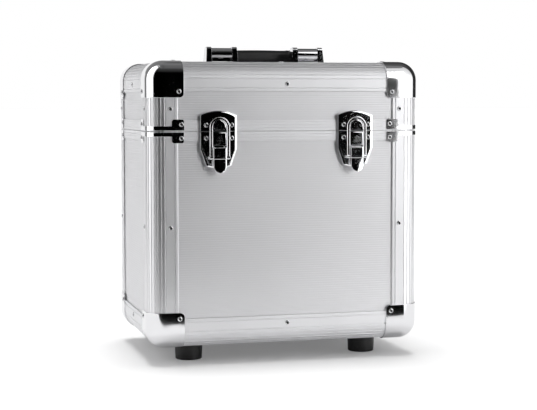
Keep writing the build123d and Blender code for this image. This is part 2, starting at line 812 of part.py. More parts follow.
def lid():
    rivets = lid_rivet_set()
    walls = panel_walls(lid_bottom + rim_top, case_top - core_inner)
    facings = wall_facings(lid_bottom + rim_top, case_top - facing_inset)
    facings.append(cross_facing(case_top - core_outer, case_top - profile_wall))
    lining = wall_lining(split + tongue_height + tongue_headroom, case_top - lining_outer)
    lining.append(cross_lining(case_top - lining_inner, case_top - lining_outer))
    uprights = upright_strips(lid_bottom, case_top - profile_start)
    caps = four_ways(raised(corner_cap()))
    strips = [raised(strip) for strip in bottom_strips()]
    parts = {
        "top_panel": cross_board(case_top - core_inner, case_top - core_outer) - rivets,
        "lid_front_panel": walls[0] - rivets,
        "lid_rear_panel": walls[1] - rivets,
        "lid_left_panel": walls[2] - rivets,
        "lid_right_panel": walls[3] - rivets,
        "lid_facings": group([sheet - rivets for sheet in facings]),
        "lid_corner_profiles": group([strip - rivets for strip in uprights]),
        "top_edge_profiles": group([strip - rivets for strip in strips]),
        "lid_rim_profiles": group([run - rivets for run in rim_runs(lid_rim_section(), lid_bottom)]),
        "lid_split_brackets": group([one - rivets for one in four_ways(split_bracket(lid_bottom, 1))]),
        "cap_top_front_left": caps[0] - rivets,
        "cap_top_rear_left": caps[1] - rivets,
        "cap_top_front_right": caps[2] - rivets,
        "cap_top_rear_right": caps[3] - rivets,
        "lid_lining": group(lining),
        "handle_pins": group(left_right(handle_pin())),
        "lid_rivets": group(rivets),
    }
    bracket = handle_bracket()
    for side, name in ((-1, "left"), (1, "right")):
        parts["catch_plate_" + name] = latch_place(side) * catch_plate() - rivets
        parts["hinge_lid_leaf_" + name] = hinge_leaf(side * hinge_spacing / 2, 1, 1) - rivets
        parts["handle_bracket_" + name] = sided(bracket, side) - rivets
    return parts


def sided(shape, side):
    """The shape as drawn for the right, or its mirror image for the left."""
    return shape if side > 0 else mirror(shape, about=Plane.YZ)


def moving_parts():
    parts = {"grip": grip(), "grip_rod": grip_rod()}
    for side, name in ((-1, "left"), (1, "right")):
        place = latch_place(side)
        parts["handle_arm_" + name] = sided(handle_arm(), side)
        parts["lever_" + name] = place * lever()
        parts["bail_pin_" + name] = place * bail_pin()
        parts["bail_" + name] = place * bail()
        parts["lock_cylinder_" + name] = place * lock_cylinder()
    return parts


def build():
    """Every named sub-part, with the case's overall box centred on the Z axis."""
    parts = {**case_body(), **lid(), **moving_parts()}
    return {name: Pos(0, centre_y, 0) * shape for name, shape in parts.items()}


def main():
    os.makedirs("parts", exist_ok=True)
    for name, shape in build().items():
        export_step(shape, f"parts/{name}.step")


main()
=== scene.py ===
import json
import math
import bmesh
import bpy
from mathutils import Matrix, Vector

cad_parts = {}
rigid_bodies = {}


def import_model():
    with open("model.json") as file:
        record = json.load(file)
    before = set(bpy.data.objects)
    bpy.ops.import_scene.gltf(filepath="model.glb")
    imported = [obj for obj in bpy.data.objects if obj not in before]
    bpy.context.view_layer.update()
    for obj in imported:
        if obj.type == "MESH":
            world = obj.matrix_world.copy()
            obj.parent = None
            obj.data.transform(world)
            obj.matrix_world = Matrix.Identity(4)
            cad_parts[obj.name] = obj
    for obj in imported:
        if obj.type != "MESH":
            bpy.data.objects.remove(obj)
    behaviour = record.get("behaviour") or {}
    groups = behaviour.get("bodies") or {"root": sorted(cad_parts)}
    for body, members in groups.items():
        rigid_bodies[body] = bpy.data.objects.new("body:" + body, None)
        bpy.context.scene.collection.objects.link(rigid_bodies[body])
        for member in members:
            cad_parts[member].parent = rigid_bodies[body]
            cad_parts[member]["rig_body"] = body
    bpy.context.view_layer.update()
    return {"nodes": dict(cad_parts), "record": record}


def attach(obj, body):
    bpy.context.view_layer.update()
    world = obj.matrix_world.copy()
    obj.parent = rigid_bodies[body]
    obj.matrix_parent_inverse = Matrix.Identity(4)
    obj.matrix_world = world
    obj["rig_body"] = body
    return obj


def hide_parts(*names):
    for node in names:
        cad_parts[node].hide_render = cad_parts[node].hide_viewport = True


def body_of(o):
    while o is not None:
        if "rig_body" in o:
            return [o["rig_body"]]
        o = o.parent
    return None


# Record carrying case: finishes, fine pieces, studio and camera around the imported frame.
# Metres. Sizes written in millimetres pass through mm().

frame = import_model()
NODES = frame["nodes"]
SLOTS = {part["node"]: part["material_slot"] for part in frame["record"]["subparts"]}


def mm(*values):
    scaled = tuple(value / 1000 for value in values)
    return scaled if len(scaled) > 1 else scaled[0]


# Case, in millimetres
HALF_WIDTH = 175.0
HALF_DEPTH = 116.5
CENTRE_Y = 2.9
FRONT = CENTRE_Y - HALF_DEPTH
BOTTOM = 22.0
SPLIT = 289.0
LID_GAP = 0.6
TOP = 375.0
EDGE_RADIUS = 22.0
CASE_MIDDLE = (0.0, CENTRE_Y, (BOTTOM + TOP) / 2)

# Edge strips
STRIP_WALL = 2.0
STRIP_REACH = 37.0
STRIP_RUN_INSET = 37.3
UPRIGHT_START = 24.0
LIP_ROUND = 1.0
FLUTES = 8
FLUTE_MARGIN = 3.0
FLUTE_WIDTH = 0.75
FLUTE_DEPTH = 0.55
LEG_GROOVE_INSET = 32.5
LEG_GROOVE_WIDTH = 0.75
LEG_GROOVE_DEPTH = 1.2
LEVEL_GROOVE_DEPTH = 0.6

# Corner caps and split brackets
CAP_REACH = 44.5
CAP_WALL = 1.2
CAP_CORNER = 6.0
CAP_CROWN = 0.06
CAP_DEPTH_INSIDE = 60.0
CAP_EDGE_ROUND = 0.35
CAP_RIVET_ALONG = 38.0
CAP_RIVET_ACROSS = 37.0
BRACKET_WALL = 1.0
BRACKET_EAR_HEIGHT = 13.2
BRACKET_RIVET_INSET = 40.8
BRACKET_RIVET_HEIGHT = 8.2
STRIP_RIVET_INSET = 27.4

# Rivets
RIVET_RADIUS = 2.9
RIVET_HEIGHT = 1.1
RIVET_HOLE = 0.56
RIVET_STEPS = 17
# Shares of the radius and the height, from under the head over its dome and down the hole
RIVET_PROFILE = [(0.0, -0.3), (0.97, -0.3), (1.0, 0.0), (1.0, 0.4), (0.96, 0.7), (0.87, 0.9), (0.79, 0.98),
                 (0.7, 1.0), (0.62, 0.95), (RIVET_HOLE, 0.8), (RIVET_HOLE * 0.96, 0.1),
                 (RIVET_HOLE * 0.5, 0.1), (0.0, 0.2)]

# Facings
FACING_THICKNESS = 1.0
RIB_PITCH = 2.9
RIB_DEPTH = 0.15
RIB_STEPS = 8
RIB_FULLNESS = 0.6

# Latches, measured from the split and out from the front
LATCH_X = 88.0
PLATE_HALF_WIDTH = 22.9
CATCH_SHOULDER = 20.0
CATCH_TOP = 25.6
BASE_SHOULDER = 22.3
BASE_FOOT_HALF_WIDTH = 15.8
BASE_FOOT = 42.3
BASE_LOW = 45.3
PLATE_RIVET_X = 16.0
PLATE_RIVET_DROP = 8.0
PLATE_HEIGHT = 4.6
PLATE_EDGE_ROLL = 0.35
PLATE_ROLL_START = 3.9
# Inset and height of each step up the edge of a plate
PLATE_SLOPE = [(0.0, -STRIP_WALL), (0.0, 3.15), (0.05, 3.4), (0.2, 3.62), (0.4, 3.77), (1.2, 4.2),
               (1.5, 4.35), (1.8, 4.46), (2.2, 4.55), (2.6, PLATE_HEIGHT), (3.4, PLATE_HEIGHT)]
BLOCK_HALF_WIDTH = 8.2
BLOCK_TOP = 1.2
BLOCK_BOTTOM = 17.6
BLOCK_HEIGHT = 8.2
BLOCK_SINK = 1.2
BLOCK_ROUND = 0.7
BOSS_HALF_WIDTH = 7.5
BOSS_BOTTOM = 2.0
BOSS_TOP = 13.7
BOSS_HEIGHT = 9.9
BAIL_INNER_RADIUS = 8.6
BAIL_WIDTH = 4.2
BAIL_THICKNESS = 1.8
BAIL_ARCH_HEIGHT = 5.4
BAIL_PIN_DROP = 32.0
BAIL_PIN_HEIGHT = 8.0
BAIL_EYE_RADIUS = 2.2
LEVER_HALF_WIDTH = 8.3
LEVER_PIVOT_DROP = 21.2
LEVER_PIVOT_HEIGHT = 8.4
LEVER_ROUND = 3.2
LEVER_BEND_DROP = 33.5
LEVER_TIP_DROP = 50.7
LEVER_TIP_HEIGHT = 13.2
LEVER_TIP_EDGE = 1.6
LEVER_WALL = 0.8
LEVER_STEP = 0.45
LEVER_STEP_DROP = 33.3
LEVER_STEP_RUN = 0.7
LEVER_CROWN = 0.5
LEVER_CORNER = 1.3
LEVER_FACE_START = 68
PIN_RADIUS = 1.0
PIN_HEAD_RADIUS = 1.7
KNUCKLE_HALF_LENGTH = 6.6
KNUCKLE_RADIUS = 2.0
STAND_HALF_THICKNESS = 1.4
STAND_FOOT = 3.4

# Hinges
HINGE_X = 88.0
HINGE_Z = 289.3
HINGE_RIVET_PITCH = 22.0
HINGE_LEAF_WALL = 1.6
HINGE_RIVET_RISE = 7.65

# Handle
HANDLE_BRACKET_INNER = 36.4
HANDLE_BRACKET_LENGTH = 43.5
HANDLE_RIVET_OFFSET = 11.4
HANDLE_PLATE_WALL = 2.0
GRIP_HALF_LENGTH = 41.5
GRIP_DEPTH = 19.0
GRIP_HEIGHT = 17.0
GRIP_BACK = 30.0
GRIP_Z = 385.9
GRIP_ROUND = 6.5
# Share of the half length, and the size there
GRIP_WAIST = [(0.35, 0.965), (0.7, 0.935), (0.9, 0.945), (0.92, 0.985), (0.96, 0.99), (0.985, 0.95),
              (1.0, 0.86)]

# Feet
FOOT_HEIGHT = 22.0
FOOT_TOP_RADIUS = 18.0
FOOT_BOTTOM_RADIUS = 16.8
FOOT_INSET_X = 60.0
FOOT_INSET_Y = 55.3
FOOT_RECESS_RADIUS = 6.5
FOOT_RECESS_DEPTH = 9.0

# Linings: shares of each side at which a pad has a point, close together at its soft edges
PAD_STEPS = [0.0, 0.004, 0.012, 0.03, 0.08, 0.2, 0.35, 0.5, 0.65, 0.8, 0.92, 0.97, 0.988, 0.996, 1.0]

# CAD facets that meet at less than this many degrees are joined before their edges are eased
FACET_ANGLE = 1.5

# Studio, in metres
SCREEN_RADIUS = 4.0
SCREEN_CENTRE = 0.2
SCREEN_STEPS = 24
SKY_LIGHT = 0.4
PAPER_LIFT = 0.14
FLOOR_REACH = 60
WHITE = (1, 1, 1, 1)

# Camera
CAMERA_PLACE = mm(-473.1, -1831.9, 324.3)
CAMERA_TURN = math.radians(14.862)
CAMERA_DIP = math.radians(3.331)
CAMERA_ROLL = math.radians(-0.05)
CAMERA_LENS = 96.0
CAMERA_SHIFT = (-0.0102, -0.0354)


# Node helpers

def linear(code):
    """sRGB hex such as D8D8DA as linear red, green, blue and alpha."""
    channels = [int(code[i:i + 2], 16) / 255 for i in (0, 2, 4)]
    return tuple(c / 12.92 if c <= 0.04045 else ((c + 0.055) / 1.055) ** 2.4 for c in channels) + (1.0,)


def add(tree, kind, inputs=None, **settings):
    """Adds a node. inputs gives each socket, by name or number, a value, another node's output, or a
    node, which stands for its first output."""
    node = tree.nodes.new(kind)
    for name, value in settings.items():
        setattr(node, name, value)
    for socket, value in (inputs or {}).items():
        if isinstance(value, bpy.types.Node):
            value = value.outputs[0]
        if isinstance(value, bpy.types.NodeSocket):
            tree.links.new(value, node.inputs[socket])
        else:
            node.inputs[socket].default_value = value
    return node


def calculate(tree, value, *steps):
    """Works a value through a formula. Each step is an operation and what it takes besides the value."""
    for operation, *others in steps:
        inputs = dict(enumerate([value, *others]))
        value = add(tree, "ShaderNodeMath", inputs, operation=operation).outputs[0]
    return value


def new_material(name):
    material = bpy.data.materials.new(name)
    material.use_nodes = True
    material.node_tree.nodes.clear()
    return material, material.node_tree


# Materials

def pattern(tree, cells, detail, kind="ShaderNodeTexNoise"):
    """Texture fixed to the object, with this many cells in a metre, one number or one for each axis."""
    scale = cells if isinstance(cells, tuple) else (cells, cells, cells)
    place = add(tree, "ShaderNodeTexCoord").outputs["Object"]
    stretched = add(tree, "ShaderNodeMapping", {"Vector": place, "Scale": scale}).outputs[0]
    return add(tree, kind, {"Vector": stretched, "Scale": 1.0, "Detail": detail}).outputs[0]


def surface(name, colours, roughness, wear, relief, depth, strength, metallic=1.0, streaks=0.0, tone=None):
    """Surface with two patterns. wear moves the roughness between two values and the colour between
    two hex codes, unless tone is the colour's own pattern. relief is a bump of a depth in
    millimetres, and streaks is how much it adds to the roughness or takes away."""
    material, tree = new_material(name)
    worn, raised = pattern(tree, *wear), pattern(tree, *relief)
    rough = add(tree, "ShaderNodeMapRange",
                {"Value": worn, "To Min": roughness[0], "To Max": roughness[1]}).outputs["Result"]
    if streaks:
        lines = add(tree, "ShaderNodeMapRange", {"Value": raised, "To Min": -streaks, "To Max": streaks})
        rough = calculate(tree, lines.outputs["Result"], ("ADD", rough))
    colour = linear(colours[0])
    if len(colours) > 1:
        share = pattern(tree, *tone) if tone else worn
        colour = add(tree, "ShaderNodeMix", {"Factor": share, 6: colour, 7: linear(colours[1])},
                     data_type="RGBA").outputs[2]
    normal = add(tree, "ShaderNodeBump", {"Height": raised, "Strength": strength, "Distance": mm(depth)})
    shader = add(tree, "ShaderNodeBsdfPrincipled", {
        "Base Color": colour, "Metallic": metallic, "Roughness": rough, "Normal": normal.outputs["Normal"]})
    add(tree, "ShaderNodeOutputMaterial", {"Surface": shader.outputs["BSDF"]})
    return material


def extruded_aluminium(name, roughness, lines):
    """Extruded aluminium, satin anodised. Fine die lines, drawn 0.3 mm apart, run along the strip
    and draw the reflections out, and faint clouds keep the satin from looking painted."""
    die_lines = tuple(3300 if line else 0.5 for line in lines)
    return surface(name, ("E9E9EB", "F1F1F3"), (roughness - 0.02, roughness + 0.02), wear=(25, 3),
                   relief=(die_lines, 2), depth=0.03, strength=0.2, streaks=0.03)


def ribbed_foil():
    """Rolled aluminium sheet with pressed ribs, satin anodised: pale, with a fine rolling
    grain across the ribs and slightly duller patches."""
    return surface("rolled_aluminium_sheet", ("DFDFE1", "E8E8EA"), (0.49, 0.53), wear=(9, 3),
                   relief=((30, 30, 3000), 2), depth=0.02, strength=0.1, streaks=0.03)


def chrome(name="chrome_plated_pressed_steel", code="EEEEF0", roughness=(0.03, 0.09), wave=0.06):
    """Bright nickel-chrome plate on pressed steel: a mirror with faint handling haze and
    the slight waviness that pressing leaves in thin sheet."""
    return surface(name, (code,), roughness, wear=(45, 4), relief=(70, 1), depth=0.4, strength=wave)


def zinc_plate():
    """Zinc-plated pin steel: a fine tumbled grain and duller patches."""
    return surface("zinc_plated_pin_steel", ("BDBDC0",), (0.23, 0.36), wear=(120, 2), relief=(900, 3),
                   depth=0.03, strength=0.1)


def moulded_black(name, dark, light, roughness, grain, depth):
    """Black part: a fine texture that breaks up the sheen, with slightly paler rubbed patches."""
    return surface(name, (dark, light), (roughness - 0.06, roughness + 0.06), wear=(60, 4),
                   relief=(grain, 2), depth=depth, strength=0.35, metallic=0.0)


def foam():
    """Charcoal polyethylene foam sheet: matt, with small open cells cut at the surface."""
    return surface("closed_cell_foam_sheet", ("1B1B1D", "2A2A2C"), (0.85, 0.97), wear=(300, 4),
                   relief=(900, 0, "ShaderNodeTexVoronoi"), depth=0.25, strength=0.8, metallic=0.0)


def plywood():
    """Raw poplar plywood: long pale grain with darker streaks."""
    fibres = ((60, 60, 900), 3)
    return surface("raw_poplar_plywood", ("A98B60", "CDB48A"), (0.65, 0.8), wear=fibres, relief=fibres,
                   depth=0.1, strength=0.4, metallic=0.0, tone=((8, 8, 120), 5))


FINISHES = {
    "edge_aluminium": extruded_aluminium("anodised_aluminium_rim_extrusion", 0.5, (0, 0, 1)),
    "ribbed_sheet": ribbed_foil(),
    "chrome_hardware": chrome(),
    "rivet_steel": chrome("nickel_plated_rivet_steel", "E4E4E6", (0.05, 0.12), 0.02),
    "pin_steel": zinc_plate(),
    "lock_metal": chrome("nickel_plated_zinc_die_casting", "DCDCDE", (0.05, 0.14), 0.04),
    "foot_rubber": moulded_black("moulded_nitrile_rubber", "090909", "121212", 0.42, 1800, 0.08),
    "grip_plastic": moulded_black("injection_moulded_plastic", "0B0B0B", "151515", 0.4, 1500, 0.05),
    "lining_foam": foam(),
    "board": plywood(),
}
# Near black, for the rivet holes and the stubs of their stems: painted shade that stands for the dark inside
# each hole.
RIVET_HOLE_PAINTED_SHADE = moulded_black("rivet_stem_with_painted_hole_shade", "080808", "121212", 0.55, 1500, 0.05)
UPRIGHT_METAL = extruded_aluminium("anodised_aluminium_upright_extrusion", 0.42, (1, 1, 0))
LONG_METAL = extruded_aluminium("anodised_aluminium_long_extrusion", 0.5, (0, 1, 1))
CROSS_METAL = extruded_aluminium("anodised_aluminium_cross_extrusion", 0.5, (1, 0, 1))


def dress_frame():
    """Gives every carried-over node the finish of its material slot."""
    for name, thing in NODES.items():
        for place in thing.material_slots:
            place.material = FINISHES[SLOTS[name]]


# Mesh helpers. Shapes are drawn in millimetres and written to the piece in metres.

def link(name, data):
    thing = bpy.data.objects.new(name, data)
    bpy.context.scene.collection.objects.link(thing)
    return thing


def baked(thing):
    """Turns an object with modifiers into a plain mesh object of the same name."""
    bpy.context.view_layer.update()
    graph = bpy.context.evaluated_depsgraph_get()
    mesh = bpy.data.meshes.new_from_object(thing.evaluated_get(graph), depsgraph=graph)
    thing.modifiers.clear()
    thing.data = mesh
    return thing


def to_object(name, shape):
    """Object from a bmesh drawn in metres."""
    mesh = bpy.data.meshes.new(name)
    shape.to_mesh(mesh)
    shape.free()
    return link(name, mesh)


def from_shape(name, shape, inside=None):
    """Object from a bmesh drawn in millimetres. An open sheet faces away from the point inside."""
    bmesh.ops.scale(shape, vec=mm(1, 1, 1), verts=shape.verts)
    bmesh.ops.recalc_face_normals(shape, faces=shape.faces)
    if inside is not None:
        shape.normal_update()
        behind = Vector(mm(*inside))
        if sum((face.calc_center_median() - behind).dot(face.normal) for face in shape.faces) < 0:
            bmesh.ops.reverse_faces(shape, faces=shape.faces)
    return to_object(name, shape)


def arc(centre, radius, start, end, steps):
    """Points of a round stretch from one angle in degrees to another."""
    angles = [math.radians(start + (end - start) * i / steps) for i in range(steps + 1)]
    return [(centre[0] + radius * math.cos(a), centre[1] + radius * math.sin(a)) for a in angles]


def mirrored(side, middle=()):
    """Outline from its right half, given from the middle outwards."""
    return [(-a, b) for a, b in reversed(side)] + list(middle) + list(side)


def fill(shape, rows, around=False):
    """Joins rows of corners with quads. around closes each row."""
    count = len(rows[0])
    for low, high in zip(rows, rows[1:]):
        for index in range(count if around else count - 1):
            after = (index + 1) % count
            shape.faces.new((low[index], low[after], high[after], high[index]))


def skin(shape, rings, closed=True):
    """Joins rings of points with quads. closed closes each ring and fills the first and last."""
    rows = [[shape.verts.new(point) for point in ring] for ring in rings]
    fill(shape, rows, closed)
    if closed:
        shape.faces.new(list(reversed(rows[0])))
        shape.faces.new(rows[-1])


def turned(shape, profile, axis, origin, steps):
    """Lathe: profile gives (distance along the axis, radius). A radius of 0 closes on the axis."""
    axis = Vector(axis).normalized()
    side = axis.orthogonal().normalized()
    other = axis.cross(side)
    rows = []
    for along, radius in profile:
        centre = Vector(origin) + axis * along
        ring = arc((0, 0), radius, 0, 360, steps)[:-1] if radius else [(0, 0)]
        rows.append([shape.verts.new(centre + a * side + b * other) for a, b in ring])
    for low, high in zip(rows, rows[1:]):
        for index in range(steps):
            after = (index + 1) % steps
            corners = [low[index % len(low)], low[after % len(low)], high[after % len(high)],
                       high[index % len(high)]]
            shape.faces.new(list(dict.fromkeys(corners)))


def modify(thing, kind, **settings):
    modifier = thing.modifiers.new(kind, kind)
    for name, value in settings.items():
        setattr(modifier, name, value)
    return modifier


def soften(thing, width, segments=2, limit=40, wall=0.0, even_wall=True):
    """Rounds the sharp edges and keeps flat faces flat in their shading."""
    for face in thing.data.polygons:
        face.use_smooth = True
    if not width:
        thing.data.set_sharp_from_angle(angle=math.radians(limit))
    if wall:
        modify(thing, "SOLIDIFY", thickness=mm(wall), offset=-1, use_even_offset=even_wall)
    if width:
        modify(thing, "BEVEL", width=mm(width), segments=segments, limit_method="ANGLE",
               angle_limit=math.radians(limit), use_clamp_overlap=True, harden_normals=True)
    modify(thing, "WEIGHTED_NORMAL", keep_sharp=True)
    baked(thing)


def stands_for(piece, node, finish=None):
    """Dresses a piece, lets it ride where its node rides and hides the node. finish=False keeps its own."""
    if finish is not False:
        piece.data.materials.clear()
        piece.data.materials.append(finish or FINISHES[SLOTS[node]])
    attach(piece, body_of(NODES[node])[0])
    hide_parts(node)


def drawn_piece(name, shape, node, finish=None):
    """Smooth piece, drawn as a closed shape, that stands for a CAD node."""
    piece = from_shape(name, shape)
    soften(piece, 0)
    stands_for(piece, node, finish=finish)


def merged_copy(node):
    """A CAD node's mesh with its loose triangles joined."""
    shape = bmesh.new()
    shape.from_mesh(NODES[node].data)
    bmesh.ops.remove_doubles(shape, verts=shape.verts, dist=1e-6)
    return shape


def solid_boxes(node):
    """Lowest and highest corner, in millimetres, of each separate solid of a node, in a fixed order."""
    shape = merged_copy(node)
    left, boxes = set(shape.verts), []
    while left:
        queue = [left.pop()]
        island = list(queue)
        while queue:
            for edge in queue.pop().link_edges:
                found = [corner for corner in edge.verts if corner in left]
                left.difference_update(found)
                queue += found
                island += found
        boxes.append(([min(v.co[k] for v in island) * 1000 for k in range(3)],
                      [max(v.co[k] for v in island) * 1000 for k in range(3)]))
    shape.free()
    return sorted(boxes)


def four_corners():
    return [(x, y) for x in (-1, 1) for y in (-1, 1)]


# Edge strips

def trough(middle, half, depth):
    """A rounded groove from one lip to the other: place and depth of each point."""
    return [(middle + half * t, depth * (1 - t * t) ** 0.5) for t in (-1, -0.8, -0.4, 0, 0.4, 0.8, 1)]


def strip_section(groove_depth):
    """Closed outline of the bent strip: distance along each leg from the outer corner."""
    leg = arc((STRIP_REACH - LIP_ROUND, LIP_ROUND), LIP_ROUND, 0, -90, 4)
    leg += reversed(trough(LEG_GROOVE_INSET, LEG_GROOVE_WIDTH, groove_depth))
    pitch = (90 - 2 * FLUTE_MARGIN) / (FLUTES - 1)
    half = math.degrees(FLUTE_WIDTH / EDGE_RADIUS)
    marks = [(0.0, 0.0)]
    for index in range(FLUTES):
        middle = FLUTE_MARGIN + index * pitch
        marks += trough(middle, half, FLUTE_DEPTH)
        if index < FLUTES - 1:
            marks += [(middle + pitch * share, 0.0) for share in (0.35, 0.5, 0.65)]
    marks.append((90.0, 0.0))
    bend = []
    for degrees, depth in marks:
        angle, radius = math.radians(270 - degrees), EDGE_RADIUS - depth
        bend.append((EDGE_RADIUS + radius * math.cos(angle), EDGE_RADIUS + radius * math.sin(angle)))
    other_leg = [(y, x) for x, y in reversed(leg)]
    inner = arc((EDGE_RADIUS, EDGE_RADIUS), EDGE_RADIUS - STRIP_WALL, 180, 270, 10)
    return leg + bend + other_leg + [(STRIP_WALL, STRIP_REACH)] + inner + [(STRIP_REACH, STRIP_WALL)]


def edge_strips(name, node, runs, finish, groove_depth=LEVEL_GROOVE_DEPTH):
    """Strips given by a start, an end and the directions of their two legs."""
    shape = bmesh.new()
    section = strip_section(groove_depth)
    for *ends, first, second in runs:
        outline = [Vector(first) * u + Vector(second) * v for u, v in section]
        skin(shape, [[Vector(end) + point for point in outline] for end in ends])
    drawn_piece(name, shape, node, finish)


def on_case(x, y, height):
    """Point at a share of the half width and the half depth from the middle."""
    return x * HALF_WIDTH, CENTRE_Y + y * HALF_DEPTH, height


def upright_runs(low, high):
    return [(on_case(x, y, low), on_case(x, y, high), (-x, 0, 0), (0, -y, 0)) for x, y in four_corners()]


def long_runs(height, up):
    reach = 1 - STRIP_RUN_INSET / HALF_WIDTH
    return [(on_case(-reach, y, height), on_case(reach, y, height), (0, -y, 0), (0, 0, up)) for y in (-1, 1)]


def cross_runs(height, up):
    reach = 1 - STRIP_RUN_INSET / HALF_DEPTH
    return [(on_case(x, -reach, height), on_case(x, reach, height), (-x, 0, 0), (0, 0, up)) for x in (-1, 1)]


def all_strips():
    spans = (("body", BOTTOM + UPRIGHT_START, SPLIT), ("lid", SPLIT + LID_GAP, TOP - UPRIGHT_START))
    for name, low, high in spans:
        edge_strips(name + "_uprights", name + "_corner_profiles", upright_runs(low, high), UPRIGHT_METAL,
                    LEG_GROOVE_DEPTH)
    for name, height, up in (("bottom", BOTTOM, 1), ("top", TOP, -1)):
        edge_strips(name + "_long_strips", name + "_edge_profiles", long_runs(height, up), LONG_METAL)
        edge_strips(name + "_cross_strips", name + "_edge_profiles", cross_runs(height, up), CROSS_METAL)


# Corner caps

def cap_grid():
    """Steps from the outer corner along a face: close together round the bend, wide on the flat."""
    radius = EDGE_RADIUS + CAP_WALL
    size = CAP_REACH + CAP_WALL
    bend = [radius * (1 - math.tan(math.radians(45 * (8 - k) / 8))) for k in range(9)]
    flat = [radius + (size - radius) * t for t in (0.18, 0.36, 0.54, 0.72, 0.79, 0.86, 0.93, 1.0)]
    return bend + flat


def cap_point(u, v):
    """Point on the cap for a place on the square face at w = 0: rounded far corner, bend and crown."""
    radius = EDGE_RADIUS + CAP_WALL
    size = CAP_REACH + CAP_WALL
    block = size - CAP_CORNER
    if u > block and v > block:
        a, b = (u - block) / CAP_CORNER, (v - block) / CAP_CORNER
        u = block + CAP_CORNER * a * math.sqrt(1 - b * b / 2)
        v = block + CAP_CORNER * b * math.sqrt(1 - a * a / 2)
    core = Vector((max(u, radius), max(v, radius), radius))
    outward = Vector((u, v, 0)) - core
    point = core + outward.normalized() * radius
    flat = [min(max((t - radius * 0.8) / (size - radius * 0.8), 0), 1) for t in (u, v)]
    point.z -= CAP_CROWN * (math.sin(math.pi * flat[0]) * math.sin(math.pi * flat[1])) ** 2
    return point


def corner_cap(node, x, y, up):
    """Pressed cap: three crowned faces that meet in a ball corner."""
    height = TOP + CAP_WALL if up < 0 else BOTTOM - CAP_WALL
    corner = Vector((x * (HALF_WIDTH + CAP_WALL), CENTRE_Y + y * (HALF_DEPTH + CAP_WALL), height))
    inward = Vector((-x, -y, up))
    shape = bmesh.new()
    face = [[cap_point(u, v) for v in cap_grid()] for u in cap_grid()]
    for axes in ((0, 1, 2), (2, 0, 1), (1, 2, 0)):
        skin(shape, [[corner + inward * Vector([point[axis] for axis in axes]) for point in row]
                     for row in face], closed=False)
    bmesh.ops.remove_doubles(shape, verts=shape.verts, dist=0.001)
    piece = from_shape("pressed_" + node, shape, corner + inward * CAP_DEPTH_INSIDE)
    soften(piece, CAP_EDGE_ROUND, 3, 50, wall=CAP_WALL)
    stands_for(piece, node)


def all_caps():
    for x, side in ((-1, "left"), (1, "right")):
        for y, end in ((-1, "front"), (1, "rear")):
            corner_cap("cap_bottom_{}_{}".format(end, side), x, y, 1)
            corner_cap("cap_top_{}_{}".format(end, side), x, y, -1)


# Ribbed facings

def node_group(name, **inputs):
    """Geometry tree with named inputs, each given by its kind and value, and their identifiers."""
    tree = bpy.data.node_groups.new(name, "GeometryNodeTree")
    sockets = {}
    for title, (kind, value) in inputs.items():
        socket = tree.interface.new_socket(title, in_out="INPUT", socket_type="NodeSocket" + kind)
        if value is not None:
            socket.default_value = value
        sockets[title] = socket.identifier
    tree.interface.new_socket("Geometry", in_out="OUTPUT", socket_type="NodeSocketGeometry")
    return tree, sockets, add(tree, "NodeGroupInput").outputs


def ribbed_sheet_tree():
    """Flat sheet with pressed ribs along X, its ridge line at z = 0 and a plain back."""
    tree, sockets, given = node_group(
        "ribbed_sheet", Length=("Float", 0.2), Height=("Float", 0.2), Pitch=("Float", mm(RIB_PITCH)),
        Depth=("Float", mm(RIB_DEPTH)), Thickness=("Float", mm(FACING_THICKNESS)), Steps=("Int", 100),
        Finish=("Material", None))
    grid = add(tree, "GeometryNodeMeshGrid", {"Size X": given["Length"], "Size Y": given["Height"],
                                              "Vertices X": 2, "Vertices Y": given["Steps"]})
    place = add(tree, "ShaderNodeSeparateXYZ", {0: add(tree, "GeometryNodeInputPosition")})
    sink = calculate(tree, place.outputs["Y"], ("DIVIDE", given["Pitch"]), ("MULTIPLY", math.pi), ("SINE",),
                     ("ABSOLUTE",), ("POWER", RIB_FULLNESS), ("SUBTRACT", 1.0),
                     ("MULTIPLY", given["Depth"]))
    face = add(tree, "GeometryNodeSetPosition", {
        "Geometry": grid.outputs["Mesh"],
        "Offset": add(tree, "ShaderNodeCombineXYZ", {"Z": sink})})
    back = calculate(tree, given["Thickness"], ("MULTIPLY", -1.0))
    box = add(tree, "GeometryNodeExtrudeMesh", {
        "Mesh": face, "Offset": add(tree, "ShaderNodeCombineXYZ", {"Z": back}),
        "Offset Scale": 1.0, "Individual": False})
    flat = add(tree, "GeometryNodeFlipFaces", {"Mesh": box.outputs["Mesh"]})
    whole = add(tree, "GeometryNodeJoinGeometry")
    for half in (face, flat):
        tree.links.new(half.outputs[0], whole.inputs[0])
    closed = add(tree, "GeometryNodeMergeByDistance", {"Geometry": whole, "Distance": 1e-6})
    smooth = add(tree, "GeometryNodeSetShadeSmooth", {"Geometry": closed})
    real = add(tree, "GeometryNodeRealizeInstances", {"Geometry": smooth})
    dressed = add(tree, "GeometryNodeSetMaterial",
                  {"Geometry": real, "Material": given["Finish"]})
    add(tree, "NodeGroupOutput", {"Geometry": dressed})
    return tree, sockets


def made_by(tree, sockets, name, base=None, **values):
    """Runs a tree on a mesh object and keeps the plain result."""
    thing = link(name, base or bpy.data.meshes.new(name))
    step = modify(thing, "NODES", node_group=tree)
    for socket, value in values.items():
        step[sockets[socket]] = value
    return baked(thing)


